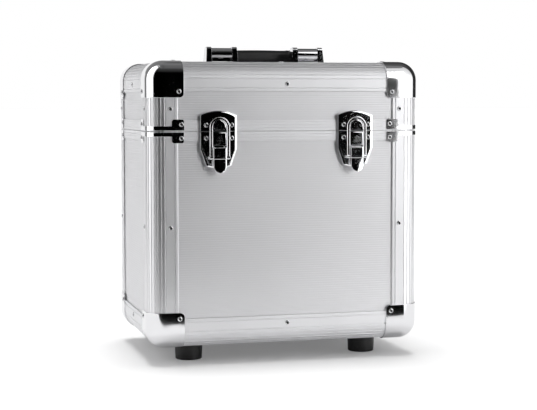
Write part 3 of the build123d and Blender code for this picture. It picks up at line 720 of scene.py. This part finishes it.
def sheet_place(low, high):
    """Length, height and turn of a sheet that lies between two corners. Its thin axis faces outwards."""
    size = [high[k] - low[k] for k in range(3)]
    middle = [(high[k] + low[k]) / 2 for k in range(3)]
    thin = size.index(min(size))
    sign = 1 if middle[thin] > CASE_MIDDLE[thin] else -1
    if thin == 2:
        along, stack = Vector((1, 0, 0)), Vector((0, sign, 0))
    else:
        along = Vector((0, sign, 0)) if thin == 0 else Vector((-sign, 0, 0))
        stack = Vector((0, 0, 1))
    out = along.cross(stack)
    middle[thin] = high[thin] if sign > 0 else low[thin]
    extent = [abs(axis.dot(size)) for axis in (along, stack)]
    turn = Matrix((along, stack, out)).transposed().to_4x4()
    return extent[0], extent[1], Matrix.Translation(Vector(middle) / 1000) @ turn


def ribbed_facings(name, node):
    """All the facing sheets of one body as one mesh."""
    tree, sockets = ribbed_sheet_tree()
    whole = bmesh.new()
    for low, high in solid_boxes(node):
        length, height, place = sheet_place(low, high)
        steps = round(height / RIB_PITCH) * RIB_STEPS + 1
        sheet = made_by(tree, sockets, "sheet", Length=mm(length), Height=mm(height), Steps=steps,
                        Finish=FINISHES["ribbed_sheet"])
        sheet.data.transform(place)
        whole.from_mesh(sheet.data)
        bpy.data.objects.remove(sheet)
    piece = to_object(name, whole)
    soften(piece, 0)
    stands_for(piece, node)


# Rivets

def rivet_tree():
    """Pop rivet heads on points. Each head is a lathe shape: a dome round a hole with the stub of its
    stem at the bottom. The hole walls and the stub take a near-black material, which is painted shade
    inside the hole."""
    tree, sockets, given = node_group(
        "pop_rivets", Places=("Geometry", None), Radius=("Float", mm(RIVET_RADIUS)),
        Height=("Float", mm(RIVET_HEIGHT)), Around=("Int", RIVET_STEPS), Finish=("Material", None),
        Stem=("Material", None))
    position = add(tree, "GeometryNodeInputPosition")
    grid = add(tree, "GeometryNodeMeshGrid", {"Size X": 1.0, "Size Y": 1.0, "Vertices X": given["Around"],
                                              "Vertices Y": len(RIVET_PROFILE)})
    place = add(tree, "ShaderNodeSeparateXYZ", {0: position})
    turn = calculate(tree, place.outputs["X"], ("MULTIPLY", 2 * math.pi))
    share = calculate(tree, place.outputs["Y"], ("ADD", 0.5))
    radius = calculate(tree, profile_curve(tree, share, 0), ("MULTIPLY", given["Radius"]))
    up = calculate(tree, profile_curve(tree, share, 1), ("MULTIPLY", given["Height"]))
    across = calculate(tree, turn, ("COSINE",), ("MULTIPLY", radius))
    along = calculate(tree, turn, ("SINE",), ("MULTIPLY", radius))
    head = add(tree, "GeometryNodeSetPosition", {
        "Geometry": grid.outputs["Mesh"],
        "Position": add(tree, "ShaderNodeCombineXYZ", {"X": across, "Y": along, "Z": up})})
    closed = add(tree, "GeometryNodeMergeByDistance", {"Geometry": head, "Distance": 1e-5})
    smooth = add(tree, "GeometryNodeSetShadeSmooth", {"Geometry": closed})
    level = add(tree, "ShaderNodeSeparateXYZ", {0: position})
    side = calculate(tree, level.outputs["Y"], ("POWER", 2.0))
    # Everything inside the rim of the hole, the walls and the stem stub, gets the near-black painted shade.
    rim = calculate(tree, given["Radius"], ("MULTIPLY", RIVET_HOLE * 1.02))
    in_hole = calculate(tree, level.outputs["X"], ("POWER", 2.0), ("ADD", side), ("SQRT",),
                        ("LESS_THAN", rim))
    plated = add(tree, "GeometryNodeSetMaterial",
                 {"Geometry": smooth, "Material": given["Finish"]})
    rivet = add(tree, "GeometryNodeSetMaterial",
                {"Geometry": plated, "Selection": in_hole, "Material": given["Stem"]})
    facing = add(tree, "GeometryNodeInputNamedAttribute", {"Name": "facing"}, data_type="FLOAT_VECTOR")
    turned_to = add(tree, "FunctionNodeAlignRotationToVector", {"Vector": facing}, axis="Z")
    placed = add(tree, "GeometryNodeInstanceOnPoints", {
        "Points": given["Places"], "Instance": rivet, "Rotation": turned_to})
    real = add(tree, "GeometryNodeRealizeInstances", {"Geometry": placed})
    add(tree, "NodeGroupOutput", {"Geometry": real})
    return tree, sockets


def profile_curve(tree, share, column):
    """One column of the rivet's profile as a curve over the share of the way along it."""
    last = len(RIVET_PROFILE) - 1
    points = [(index / last, pair[column]) for index, pair in enumerate(RIVET_PROFILE)]
    node = add(tree, "ShaderNodeFloatCurve", {"Value": share})
    curve = node.mapping.curves[0]
    node.mapping.use_clip = False
    curve.points[0].location = points[0]
    curve.points[1].location = points[-1]
    for point in points[1:-1]:
        curve.points.new(*point)
    for point in curve.points:
        point.handle_type = "VECTOR"
    node.mapping.update()
    return node.outputs[0]


def rivets(name, node, places):
    """places: (point in millimetres, direction it faces)."""
    tree, sockets = rivet_tree()
    base = bpy.data.meshes.new(name)
    base.from_pydata([mm(*point) for point, _ in places], [], [])
    facing = base.attributes.new("facing", "FLOAT_VECTOR", "POINT")
    for index, (_, direction) in enumerate(places):
        facing.data[index].vector = direction
    piece = made_by(tree, sockets, name, base, Finish=FINISHES["rivet_steel"], Stem=RIVET_HOLE_PAINTED_SHADE)
    stands_for(piece, node, finish=False)


def cap_rivet_places(up, height):
    """Three rivets of each of the four caps at one end of the case."""
    wide, deep = HALF_WIDTH + CAP_WALL, HALF_DEPTH + CAP_WALL
    across = height + up * CAP_RIVET_ACROSS
    places = []
    for x, y in four_corners():
        places += [
            ((x * (HALF_WIDTH - CAP_RIVET_ALONG), CENTRE_Y + y * deep, across), (0, y, 0)),
            ((x * wide, CENTRE_Y + y * (HALF_DEPTH - CAP_RIVET_ALONG), across), (x, 0, 0)),
            ((x * (HALF_WIDTH - CAP_RIVET_ALONG), CENTRE_Y + y * (HALF_DEPTH - CAP_RIVET_ACROSS),
              height - up * CAP_WALL), (0, 0, -up))]
    return places


def upright_rivet_places(inset, stand, height):
    """A rivet on both legs of each upright at one height."""
    places = []
    for x, y in four_corners():
        places += [((x * (HALF_WIDTH - inset), CENTRE_Y + y * (HALF_DEPTH + stand), height), (0, y, 0)),
                   ((x * (HALF_WIDTH + stand), CENTRE_Y + y * (HALF_DEPTH - inset), height), (x, 0, 0))]
    return places


def strip_rivet_places(up, height):
    """Rivets in the middle of the four strips at one end of the case."""
    inset = STRIP_RIVET_INSET
    places = []
    for side in (-1, 1):
        places += [((0, CENTRE_Y + side * HALF_DEPTH, height + up * inset), (0, side, 0)),
                   ((0, CENTRE_Y + side * (HALF_DEPTH - inset), height), (0, 0, -up)),
                   ((side * HALF_WIDTH, CENTRE_Y, height + up * inset), (side, 0, 0)),
                   ((side * (HALF_WIDTH - inset), CENTRE_Y, height), (0, 0, -up))]
    return places


def fitting_rivet_places(up):
    """Rivets of the latch plates and hinge leaves above or below the split."""
    rear = CENTRE_Y + HALF_DEPTH + HINGE_LEAF_WALL
    places = []
    for side in (-1, 1):
        for step in (-1, 1):
            across = side * LATCH_X + step * PLATE_RIVET_X
            places.append(((across, FRONT - PLATE_HEIGHT, SPLIT + up * PLATE_RIVET_DROP), (0, -1, 0)))
        for step in (-1, 0, 1):
            across = side * HINGE_X + step * HINGE_RIVET_PITCH
            places.append(((across, rear, HINGE_Z + up * HINGE_RIVET_RISE), (0, 1, 0)))
    return places


def all_rivets():
    middle = HANDLE_BRACKET_INNER + HANDLE_BRACKET_LENGTH / 2
    seat = TOP - STRIP_WALL + HANDLE_PLATE_WALL
    handle = [((side * middle, CENTRE_Y + step * HANDLE_RIVET_OFFSET, seat), (0, 0, 1))
              for side in (-1, 1) for step in (-1, 1)]
    halves = (("body", 1, BOTTOM, SPLIT, []), ("lid", -1, TOP, SPLIT + LID_GAP, handle))
    for name, up, end, split, others in halves:
        between = (end + up * CAP_REACH + split - up * BRACKET_EAR_HEIGHT) / 2
        beside_split = split - up * BRACKET_RIVET_HEIGHT
        rivets(name + "_pop_rivets", name + "_rivets",
               cap_rivet_places(up, end) + upright_rivet_places(STRIP_RIVET_INSET, 0, between)
               + upright_rivet_places(BRACKET_RIVET_INSET, BRACKET_WALL, beside_split)
               + strip_rivet_places(up, end) + fitting_rivet_places(-up) + others)


# Latches, drawn as (x across, y up from the split, z out from the front)

def arc_through(half, shoulder, peak, steps):
    """Points from (-half, shoulder) over (0, peak) to (half, shoulder)."""
    rise = peak - shoulder
    radius = (half * half + rise * rise) / (2 * rise)
    reach = math.degrees(math.asin(half / radius))
    return arc((0, peak - radius), radius, 90 + reach, 90 - reach, steps)


def rolled_edge(height):
    """How far the cut edge at the split has drawn back at a height."""
    return PLATE_EDGE_ROLL * max(0.0, (height - PLATE_ROLL_START) / (PLATE_HEIGHT - PLATE_ROLL_START)) ** 2


def catch_ring(inset, height):
    cut = LID_GAP + rolled_edge(height)
    half = PLATE_HALF_WIDTH - inset
    crown = arc_through(half, CATCH_SHOULDER - inset, CATCH_TOP - inset, 20)
    points = [(-half, cut), (-half, cut + 4)] + crown + [(half, cut + 4), (half, cut)]
    return [(x, y, height) for x, y in points]


def base_ring(inset, height):
    cut = -rolled_edge(height)
    half = PLATE_HALF_WIDTH - inset
    side = [(half, cut), (half, cut - 6), (half, -BASE_SHOULDER + 1.5), (half - 0.4, -BASE_SHOULDER - 0.4)]
    foot = arc_through(BASE_FOOT_HALF_WIDTH - inset, BASE_FOOT - inset, BASE_LOW - inset, 12)
    points = side + [(x, -y) for x, y in reversed(foot)] + [(-x, y) for x, y in reversed(side)]
    return [(x, y, height) for x, y in points]


def stepped_block(shape, outline, high):
    """Block on a plate whose outline is a function of its inset, with a rounded top edge."""
    levels = [(0, PLATE_HEIGHT - BLOCK_SINK), (0, high - BLOCK_ROUND),
              (BLOCK_ROUND * 0.3, high - BLOCK_ROUND * 0.3), (BLOCK_ROUND, high)]
    skin(shape, [[(x, y, z) for x, y in outline(inset)] for inset, z in levels])


def boss_outline(inset):
    half = BOSS_HALF_WIDTH - inset
    crown = arc((0, BOSS_TOP - BOSS_HALF_WIDTH), half, 0, 180, 16)
    return crown + [(-half, BOSS_BOTTOM + inset), (half, BOSS_BOTTOM + inset)]


def block_outline(inset):
    half, top, bottom = BLOCK_HALF_WIDTH - inset, -BLOCK_TOP - inset, -BLOCK_BOTTOM + inset
    return [(half, top), (-half, top), (-half, bottom), (half, bottom)]


def catch_plate(shape):
    skin(shape, [catch_ring(inset, height) for inset, height in PLATE_SLOPE])
    stepped_block(shape, boss_outline, BOSS_HEIGHT)


def base_plate(shape):
    """Plate with the lock's block and the knuckle that carries the lever, on a stand."""
    skin(shape, [base_ring(inset, height) for inset, height in PLATE_SLOPE])
    stepped_block(shape, block_outline, BLOCK_HEIGHT)
    half = KNUCKLE_HALF_LENGTH
    turned(shape, mirrored([(half, KNUCKLE_RADIUS), (half, 0)]), (1, 0, 0),
           (0, -LEVER_PIVOT_DROP, LEVER_PIVOT_HEIGHT), 24)
    low, high = (step * STAND_HALF_THICKNESS - LEVER_PIVOT_DROP for step in (-1, 1))
    stand = [(-half, low), (half, low), (half, high), (-half, high)]
    skin(shape, [[(x, y, z) for x, y in stand] for z in (STAND_FOOT, LEVER_PIVOT_HEIGHT)])


def lever_stations():
    """Side view of the lever from its rolled end to its tip: face place, skirt foot, half width, crown."""
    pivot = (-LEVER_PIVOT_DROP, LEVER_PIVOT_HEIGHT)
    stations = []
    for degrees in (-60, -30, 0, 25, 50, LEVER_FACE_START, 79, 90):
        roll = arc(pivot, LEVER_ROUND, degrees, degrees, 1)[0]
        stations.append((roll, (pivot[0] - 0.5, pivot[1] - 0.8), LEVER_HALF_WIDTH, 0.0))
    face, back = pivot[1] + LEVER_ROUND, pivot[1] - LEVER_ROUND
    for drop in (24, 28, 31.5):
        stations.append(((-drop, face), (-drop, back), LEVER_HALF_WIDTH, 0.0))
    rise = LEVER_TIP_HEIGHT - face
    for drop in (32.8, 33.3, 33.6, 33.8, 34.0, 34.4, 36, 38.5, 41, 43.5, 45.5, 47.3, 48.7, 49.7, 50.3, 50.6,
                 LEVER_TIP_DROP):
        share = max(0.0, (drop - LEVER_BEND_DROP) / (LEVER_TIP_DROP - LEVER_BEND_DROP))
        step = LEVER_STEP * min(1.0, max(0.0, (drop - LEVER_STEP_DROP) / LEVER_STEP_RUN))
        height = face - step + (rise + step) * share
        edge = height - LEVER_TIP_EDGE
        foot = min(edge, back + (edge - back) * min(1, share * 1.25))
        past = max(0.0, drop - LEVER_TIP_DROP + LEVER_HALF_WIDTH)
        half = math.sqrt(max(LEVER_HALF_WIDTH ** 2 - past ** 2, 0.09))
        stations.append(((-drop, height), (-drop, foot), half, LEVER_CROWN * min(1, share * 1.6)))
    return stations


def lever(shape):
    """Pressed thumb lever: rolled top end, rounded shoulders down to two skirts, crowned tip."""
    rings = []
    for (face_y, face_z), (foot_y, foot_z), half, crown in lever_stations():
        down = Vector((0, foot_y - face_y, foot_z - face_z))
        depth = down.length
        down.normalize()
        corner = min(LEVER_CORNER, half * 0.5, depth * 0.6)
        side = [((half - corner) * t, 0.0) for t in (0.4, 0.75)]
        side += [(half - corner + corner * math.cos(a), corner - corner * math.sin(a))
                 for a in (math.radians(d) for d in (90, 75, 55, 35, 15))]
        side += [(half, corner + 0.01), (half, depth)]
        ring = []
        for x, sink in mirrored(side, [(0.0, 0.0)]):
            bulge = crown * (x / half) ** 2 if sink < corner else crown
            ring.append(Vector((x, face_y, face_z)) + down * min(sink + bulge * 0.6, depth))
        rings.append(ring)
    skin(shape, rings, closed=False)
    # Over the knuckle only the two ears are left, so that the opened lever clears it.
    clear = LEVER_ROUND * math.cos(math.radians(LEVER_FACE_START)) - LEVER_PIVOT_DROP - 0.001
    ear = LEVER_HALF_WIDTH - LEVER_CORNER + 0.01
    between_ears = [face for face in shape.faces
                    if all(vert.co.y > clear and abs(vert.co.x) < ear for vert in face.verts)]
    bmesh.ops.delete(shape, geom=between_ears, context="FACES")
    bmesh.ops.remove_doubles(shape, verts=shape.verts, dist=0.002)


def bail(shape):
    """Channel-section bail: raised rims along both edges of a flat arch, with rolled eyes."""
    half, thick = BAIL_WIDTH / 2, BAIL_THICKNESS / 2
    section = mirrored([(half - 1.15, thick - 0.6), (half - 0.85, thick - 0.15), (half - 0.5, thick),
                        (half - 0.15, thick - 0.1), (half, thick - 0.4), (half, -thick)])
    radius = BAIL_INNER_RADIUS + half
    leg = (-BAIL_PIN_DROP, -24, -16, -8, 0, BAIL_ARCH_HEIGHT)
    path = [(y, (-1, 0)) for y in leg]
    path += [(BAIL_ARCH_HEIGHT, outward) for outward in arc((0, 0), 1, 180, 0, 24)[1:-1]]
    path += [(y, (1, 0)) for y in reversed(leg)]
    skin(shape, [[(out_x * (radius + s), y + out_y * (radius + s), BAIL_PIN_HEIGHT + t) for s, t in section]
                 for y, (out_x, out_y) in path])
    eye = mirrored([(half - 0.3, BAIL_EYE_RADIUS), (half, BAIL_EYE_RADIUS - 0.3), (half, 0)])
    for side in (-1, 1):
        turned(shape, eye, (1, 0, 0), (side * radius, -BAIL_PIN_DROP, BAIL_PIN_HEIGHT), 24)


def bail_pin(shape):
    """Cross pin with domed heads."""
    reach = BAIL_INNER_RADIUS + BAIL_WIDTH + 0.3
    head = [(reach, PIN_RADIUS), (reach, PIN_HEAD_RADIUS), (reach + 0.3, PIN_HEAD_RADIUS - 0.15),
            (reach + 0.55, PIN_HEAD_RADIUS - 0.6), (reach + 0.65, 0)]
    turned(shape, mirrored(head), (1, 0, 0), (0, -BAIL_PIN_DROP, BAIL_PIN_HEIGHT), 20)


def latch_piece(draw, side, name, node, wall=0.0):
    """Piece of one latch, set on the front. A piece with a wall is drawn as an open sheet."""
    shape = bmesh.new()
    draw(shape)
    for vert in shape.verts:
        x, y, z = vert.co
        vert.co = (side * LATCH_X + x, FRONT - z, SPLIT + y)
    piece = from_shape(name, shape, (side * LATCH_X, FRONT, SPLIT - LEVER_BEND_DROP) if wall else None)
    soften(piece, 0, wall=wall, even_wall=False)
    stands_for(piece, node)


def all_latches():
    for side, name in ((-1, "left"), (1, "right")):
        latch_piece(catch_plate, side, "catch_pressing_" + name, "catch_plate_" + name)
        latch_piece(base_plate, side, "base_pressing_" + name, "latch_base_" + name)
        latch_piece(lever, side, "lever_pressing_" + name, "lever_" + name, LEVER_WALL)
        latch_piece(bail, side, "channel_bail_" + name, "bail_" + name)
        latch_piece(bail_pin, side, "domed_pin_" + name, "bail_pin_" + name)
        refined("lock_cylinder_" + name, 0.2)


# Pieces whose CAD shape is right, with their edges eased

def refined(node, width):
    shape = merged_copy(node)
    angle = math.radians(FACET_ANGLE)
    bmesh.ops.dissolve_limit(shape, angle_limit=angle, verts=shape.verts, edges=shape.edges)
    piece = to_object("eased_" + node, shape)
    soften(piece, width)
    stands_for(piece, node)


def eased_hardware():
    for node in ("body_split_brackets", "lid_split_brackets"):
        refined(node, 0.3)
    for side in ("left", "right"):
        for node, width in (("hinge_body_leaf_", 0.25), ("hinge_lid_leaf_", 0.25), ("handle_bracket_", 0.45),
                            ("handle_arm_", 0.6)):
            refined(node + side, width)


# Grip, feet and linings

def grip():
    """Moulded grip, slightly waisted, with a raised collar at each end."""
    shape = bmesh.new()
    rings = []
    for x, scale in mirrored(GRIP_WAIST, [(0.0, 0.975)]):
        wide, tall, curve = GRIP_DEPTH / 2 * scale, GRIP_HEIGHT / 2 * scale, GRIP_ROUND * scale
        ring = []
        for index, (back, up) in enumerate(((1, 1), (-1, 1), (-1, -1), (1, -1))):
            centre = (CENTRE_Y + GRIP_BACK + back * (wide - curve), GRIP_Z + up * (tall - curve))
            corner = arc(centre, curve, 90 * index, 90 * index + 90, 6)
            ring += [(x * GRIP_HALF_LENGTH, y, z) for y, z in corner]
        rings.append(ring)
    skin(shape, rings)
    drawn_piece("moulded_grip", shape, "grip")


def feet():
    """Four moulded feet with a seating flange, a drafted wall and a rounded tread."""
    low, high = FOOT_BOTTOM_RADIUS, FOOT_TOP_RADIUS
    profile = [(FOOT_RECESS_DEPTH, 0), (FOOT_RECESS_DEPTH, FOOT_RECESS_RADIUS), (0.5, FOOT_RECESS_RADIUS),
               (0.0, FOOT_RECESS_RADIUS + 0.5), (0.0, 11.0), (0.35, 11.3), (0.35, 12.3), (0.0, 12.6),
               (0.0, low - 1.4), (0.25, low - 0.7), (0.8, low - 0.15), (1.6, low)]
    profile += [(2 + (FOOT_HEIGHT - 5) * t, low + (high - 0.4 - low) * t) for t in (0.0, 0.33, 0.66, 1.0)]
    profile += [(FOOT_HEIGHT - 2.6, high - 0.15), (FOOT_HEIGHT - 2.2, high), (FOOT_HEIGHT - 0.4, high),
                (FOOT_HEIGHT + STRIP_WALL, high - 0.2), (FOOT_HEIGHT + STRIP_WALL, 0)]
    shape = bmesh.new()
    for x, y in four_corners():
        place = (x * (HALF_WIDTH - FOOT_INSET_X), CENTRE_Y + y * (HALF_DEPTH - FOOT_INSET_Y), 0)
        turned(shape, profile, (0, 0, 1), place, 64)
    drawn_piece("moulded_feet", shape, "rubber_feet")


def pad(name, low, high):
    """Foam sheet: soft edges and a face that swells a little."""
    size = [high[k] - low[k] for k in range(3)]
    thin = size.index(min(size))
    wide = [k for k in range(3) if k != thin]
    outer_is_high = (low[thin] + high[thin]) / 2 > CASE_MIDDLE[thin]
    back, face = (high[thin], low[thin]) if outer_is_high else (low[thin], high[thin])

    def point(u, v, share):
        place = [0.0, 0.0, 0.0]
        place[wide[0]] = low[wide[0]] + size[wide[0]] * u
        place[wide[1]] = low[wide[1]] + size[wide[1]] * v
        edge = min(min(u, 1 - u) * size[wide[0]], min(v, 1 - v) * size[wide[1]])
        rise = 0.72 + 0.2 * min(1, edge / 4) ** 0.5 + 0.08 * min(1, edge / 60)
        place[thin] = back + (face - back) * share * rise
        return place

    shape = bmesh.new()
    front_rows, back_rows = ([[shape.verts.new(point(u, v, share)) for v in PAD_STEPS] for u in PAD_STEPS]
                             for share in (1.0, 0.0))
    fill(shape, front_rows)
    fill(shape, back_rows)
    last = len(PAD_STEPS) - 1
    rim = ([(i, 0) for i in range(last)] + [(last, j) for j in range(last)]
           + [(last - i, last) for i in range(last)] + [(0, last - j) for j in range(last)])
    for (i, j), (k, m) in zip(rim, rim[1:] + rim[:1]):
        shape.faces.new((front_rows[i][j], front_rows[k][m], back_rows[k][m], back_rows[i][j]))
    piece = from_shape(name, shape)
    soften(piece, 0)
    return piece


def linings():
    for body, node in (("body", "body_lining"), ("lid", "lid_lining")):
        for index, (low, high) in enumerate(solid_boxes(node)):
            piece = pad("{}_lining_pad_{}".format(body, index + 1), low, high)
            stands_for(piece, node)


# Studio

def sun(name, azimuth, elevation, strength, spread_degrees):
    """Wide, even lamp. Azimuth 0 shines from straight in front, 90 from the right."""
    data = bpy.data.lights.new(name, "SUN")
    data.energy = strength
    data.angle = math.radians(spread_degrees)
    thing = link(name, data)
    thing.rotation_euler = (-around_case(azimuth, elevation)).to_track_quat("-Z", "Y").to_euler()
    thing.visible_camera = False
    thing.visible_glossy = False


def around_case(azimuth, elevation):
    """Direction from the case. Azimuth 0 is straight in front and 90 to its right."""
    turn, up = math.radians(azimuth), math.radians(elevation)
    return Vector((math.cos(up) * math.sin(turn), -math.cos(up) * math.cos(turn), math.sin(up)))


def screen(name, azimuths, elevations, rows):
    """Curved studio screen that shows only in reflections. rows gives its brightness from the lowest
    elevation to the highest, each row from the first azimuth to the last."""
    steps = SCREEN_STEPS
    points, glow = [], []
    for i in range(steps + 1):
        for j in range(steps + 1):
            up, along = i / steps, j / steps
            towards = around_case(between(azimuths, along), between(elevations, up))
            points.append(towards * SCREEN_RADIUS + Vector((0, 0, SCREEN_CENTRE)))
            glow.append(between([between(row, along) for row in rows], up))
    wide = steps + 1
    faces = [(i * wide + j, i * wide + j + 1, (i + 1) * wide + j + 1, (i + 1) * wide + j)
             for i in range(steps) for j in range(steps)]
    reflection_card(name, points, faces, glow)


def between(values, share):
    """Value at a share of the way along evenly spaced values."""
    place = share * (len(values) - 1)
    index = min(int(place), len(values) - 2)
    return values[index] + (values[index + 1] - values[index]) * (place - index)


def reflection_card(name, points, faces, glow):
    mesh = bpy.data.meshes.new(name)
    mesh.from_pydata(points, [], faces)
    brightness = mesh.attributes.new("brightness", "FLOAT", "POINT")
    for index, value in enumerate(glow):
        brightness.data[index].value = value
    material, tree = new_material(name)
    strength = add(tree, "ShaderNodeAttribute", attribute_name="brightness").outputs["Fac"]
    shader = add(tree, "ShaderNodeEmission", {"Color": WHITE, "Strength": strength})
    add(tree, "ShaderNodeOutputMaterial", {"Surface": shader})
    mesh.materials.append(material)
    thing = link(name, mesh)
    for ray in ("visible_camera", "visible_diffuse", "visible_shadow", "visible_transmission"):
        setattr(thing, ray, False)


def white_world():
    """White to the camera, dim as a lamp and not there in reflections."""
    world = bpy.data.worlds.new("white_studio")
    bpy.context.scene.world = world
    world.use_nodes = True
    world.cycles_visibility.glossy = False
    tree = world.node_tree
    tree.nodes.clear()
    ray = add(tree, "ShaderNodeLightPath").outputs
    seen = calculate(tree, ray["Is Camera Ray"], ("MAXIMUM", ray["Is Glossy Ray"]),
                     ("MAXIMUM", ray["Is Transmission Ray"]))
    strength = add(tree, "ShaderNodeMapRange", {"Value": seen, "To Min": SKY_LIGHT, "To Max": 1.0})
    sky = add(tree, "ShaderNodeBackground", {"Color": WHITE, "Strength": strength.outputs["Result"]})
    add(tree, "ShaderNodeOutputWorld", {"Surface": sky})


def floor():
    """White paper, a little brighter to the camera than the lamps make it."""
    mesh = bpy.data.meshes.new("floor")
    corners = [(-1, -1), (1, -1), (1, 1), (-1, 1)]
    mesh.from_pydata([(x * FLOOR_REACH, y * FLOOR_REACH, 0) for x, y in corners], [], [(0, 1, 2, 3)])
    thing = link("floor", mesh)
    material, tree = new_material("matt_white_paper")
    matt = add(tree, "ShaderNodeBsdfDiffuse", {"Color": linear("E6E6E6")})
    lift = add(tree, "ShaderNodeEmission", {"Color": WHITE, "Strength": PAPER_LIFT})
    both = add(tree, "ShaderNodeAddShader", {0: matt, 1: lift})
    in_view = add(tree, "ShaderNodeLightPath").outputs["Is Camera Ray"]
    paper = add(tree, "ShaderNodeMixShader", {0: in_view, 1: matt, 2: both})
    add(tree, "ShaderNodeOutputMaterial", {"Surface": paper})
    mesh.materials.append(material)


# Name, azimuths, elevations and the brightness of each row, as in screen
SCREENS = (
    ("front_black_screen", (-68, 21.6), (-12, 67), ((0.0, 0.0), (0.0, 0.0), (0.0, 0.0), (0.06, 0.06))),
    ("right_softbox_edge_screen", (21.6, 36), (-5, 50), ((4.2, 4.0), (2.4, 2.2))),
    ("right_softbox_shade_screen", (21.6, 36), (50, 67), ((0.04, 0.04), (0.08, 0.08))),
    ("right_softbox_screen", (36, 91), (-5, 67), ((3.6, 2.2, 1.2), (1.3, 1.0, 0.7), (0.8, 0.7, 0.6))),
    ("right_rear_black_screen", (91, 165), (-5, 67), ((0.03, 0.03), (0.03, 0.03), (0.1, 0.1))),
    ("left_softbox_screen", (-120, -68), (-5, 76), ((2.2, 1.1), (2.2, 1.1))),
    ("left_rear_grey_screen", (-146, -120), (-5, 67), ((0.22, 0.22), (0.22, 0.22))),
    ("backdrop_screen", (165, 214), (-5, 14), ((1.0, 0.9), (1.0, 0.9))),
    ("backdrop_top_screen", (165, 214), (14, 67), ((0.27, 0.27), (0.17, 0.17))),
    ("ceiling_screen", (0, 360), (67, 90), ((0.08, 0.2, 0.24, 0.2, 0.08), (0.11, 0.11, 0.11, 0.11, 0.11))),
)


def studio():
    white_world()
    floor()
    for sizes in SCREENS:
        screen(*sizes)
    # Two cards lie on the floor from 0.32 m in front of the case. Their seam runs out to the edge
    # between the black screen and the softbox.
    edge, far = mm(FRONT) - 0.32, -3.5
    near_end, far_end = (0.34, edge), (-far * math.tan(math.radians(SCREENS[0][1][1])), far)
    table_end = [(-3, far), far_end, near_end, (-3, edge)]
    softbox_foot = [far_end, (4, far), (4, edge), near_end]
    for name, outline, glow in (("table_end", table_end, 0.0), ("softbox_foot", softbox_foot, 1.35)):
        reflection_card(name, [(x, y, 0.001) for x, y in outline], [(0, 1, 2, 3)], [glow] * 4)
    sun("top_lamp", 180, 84, 2.3, 28)
    sun("right_lamp", 80, 35, 0.3, 50)
    sun("left_lamp", -80, 35, 0.3, 50)


def camera():
    data = bpy.data.cameras.new("camera")
    data.lens = CAMERA_LENS
    data.sensor_width = 36.0
    data.shift_x, data.shift_y = CAMERA_SHIFT
    data.clip_start, data.clip_end = 0.05, 100
    thing = link("camera", data)
    turn = (Matrix.Rotation(-CAMERA_TURN, 4, "Z") @ Matrix.Rotation(math.pi / 2 - CAMERA_DIP, 4, "X")
            @ Matrix.Rotation(CAMERA_ROLL, 4, "Z"))
    thing.matrix_world = Matrix.Translation(CAMERA_PLACE) @ turn
    bpy.context.scene.camera = thing


dress_frame()
all_strips()
all_caps()
ribbed_facings("body_ribbed_facings", "body_facings")
ribbed_facings("lid_ribbed_facings", "lid_facings")
all_rivets()
all_latches()
eased_hardware()
grip()
feet()
linings()
studio()
camera()
bpy.context.scene.view_settings.view_transform = "Standard"
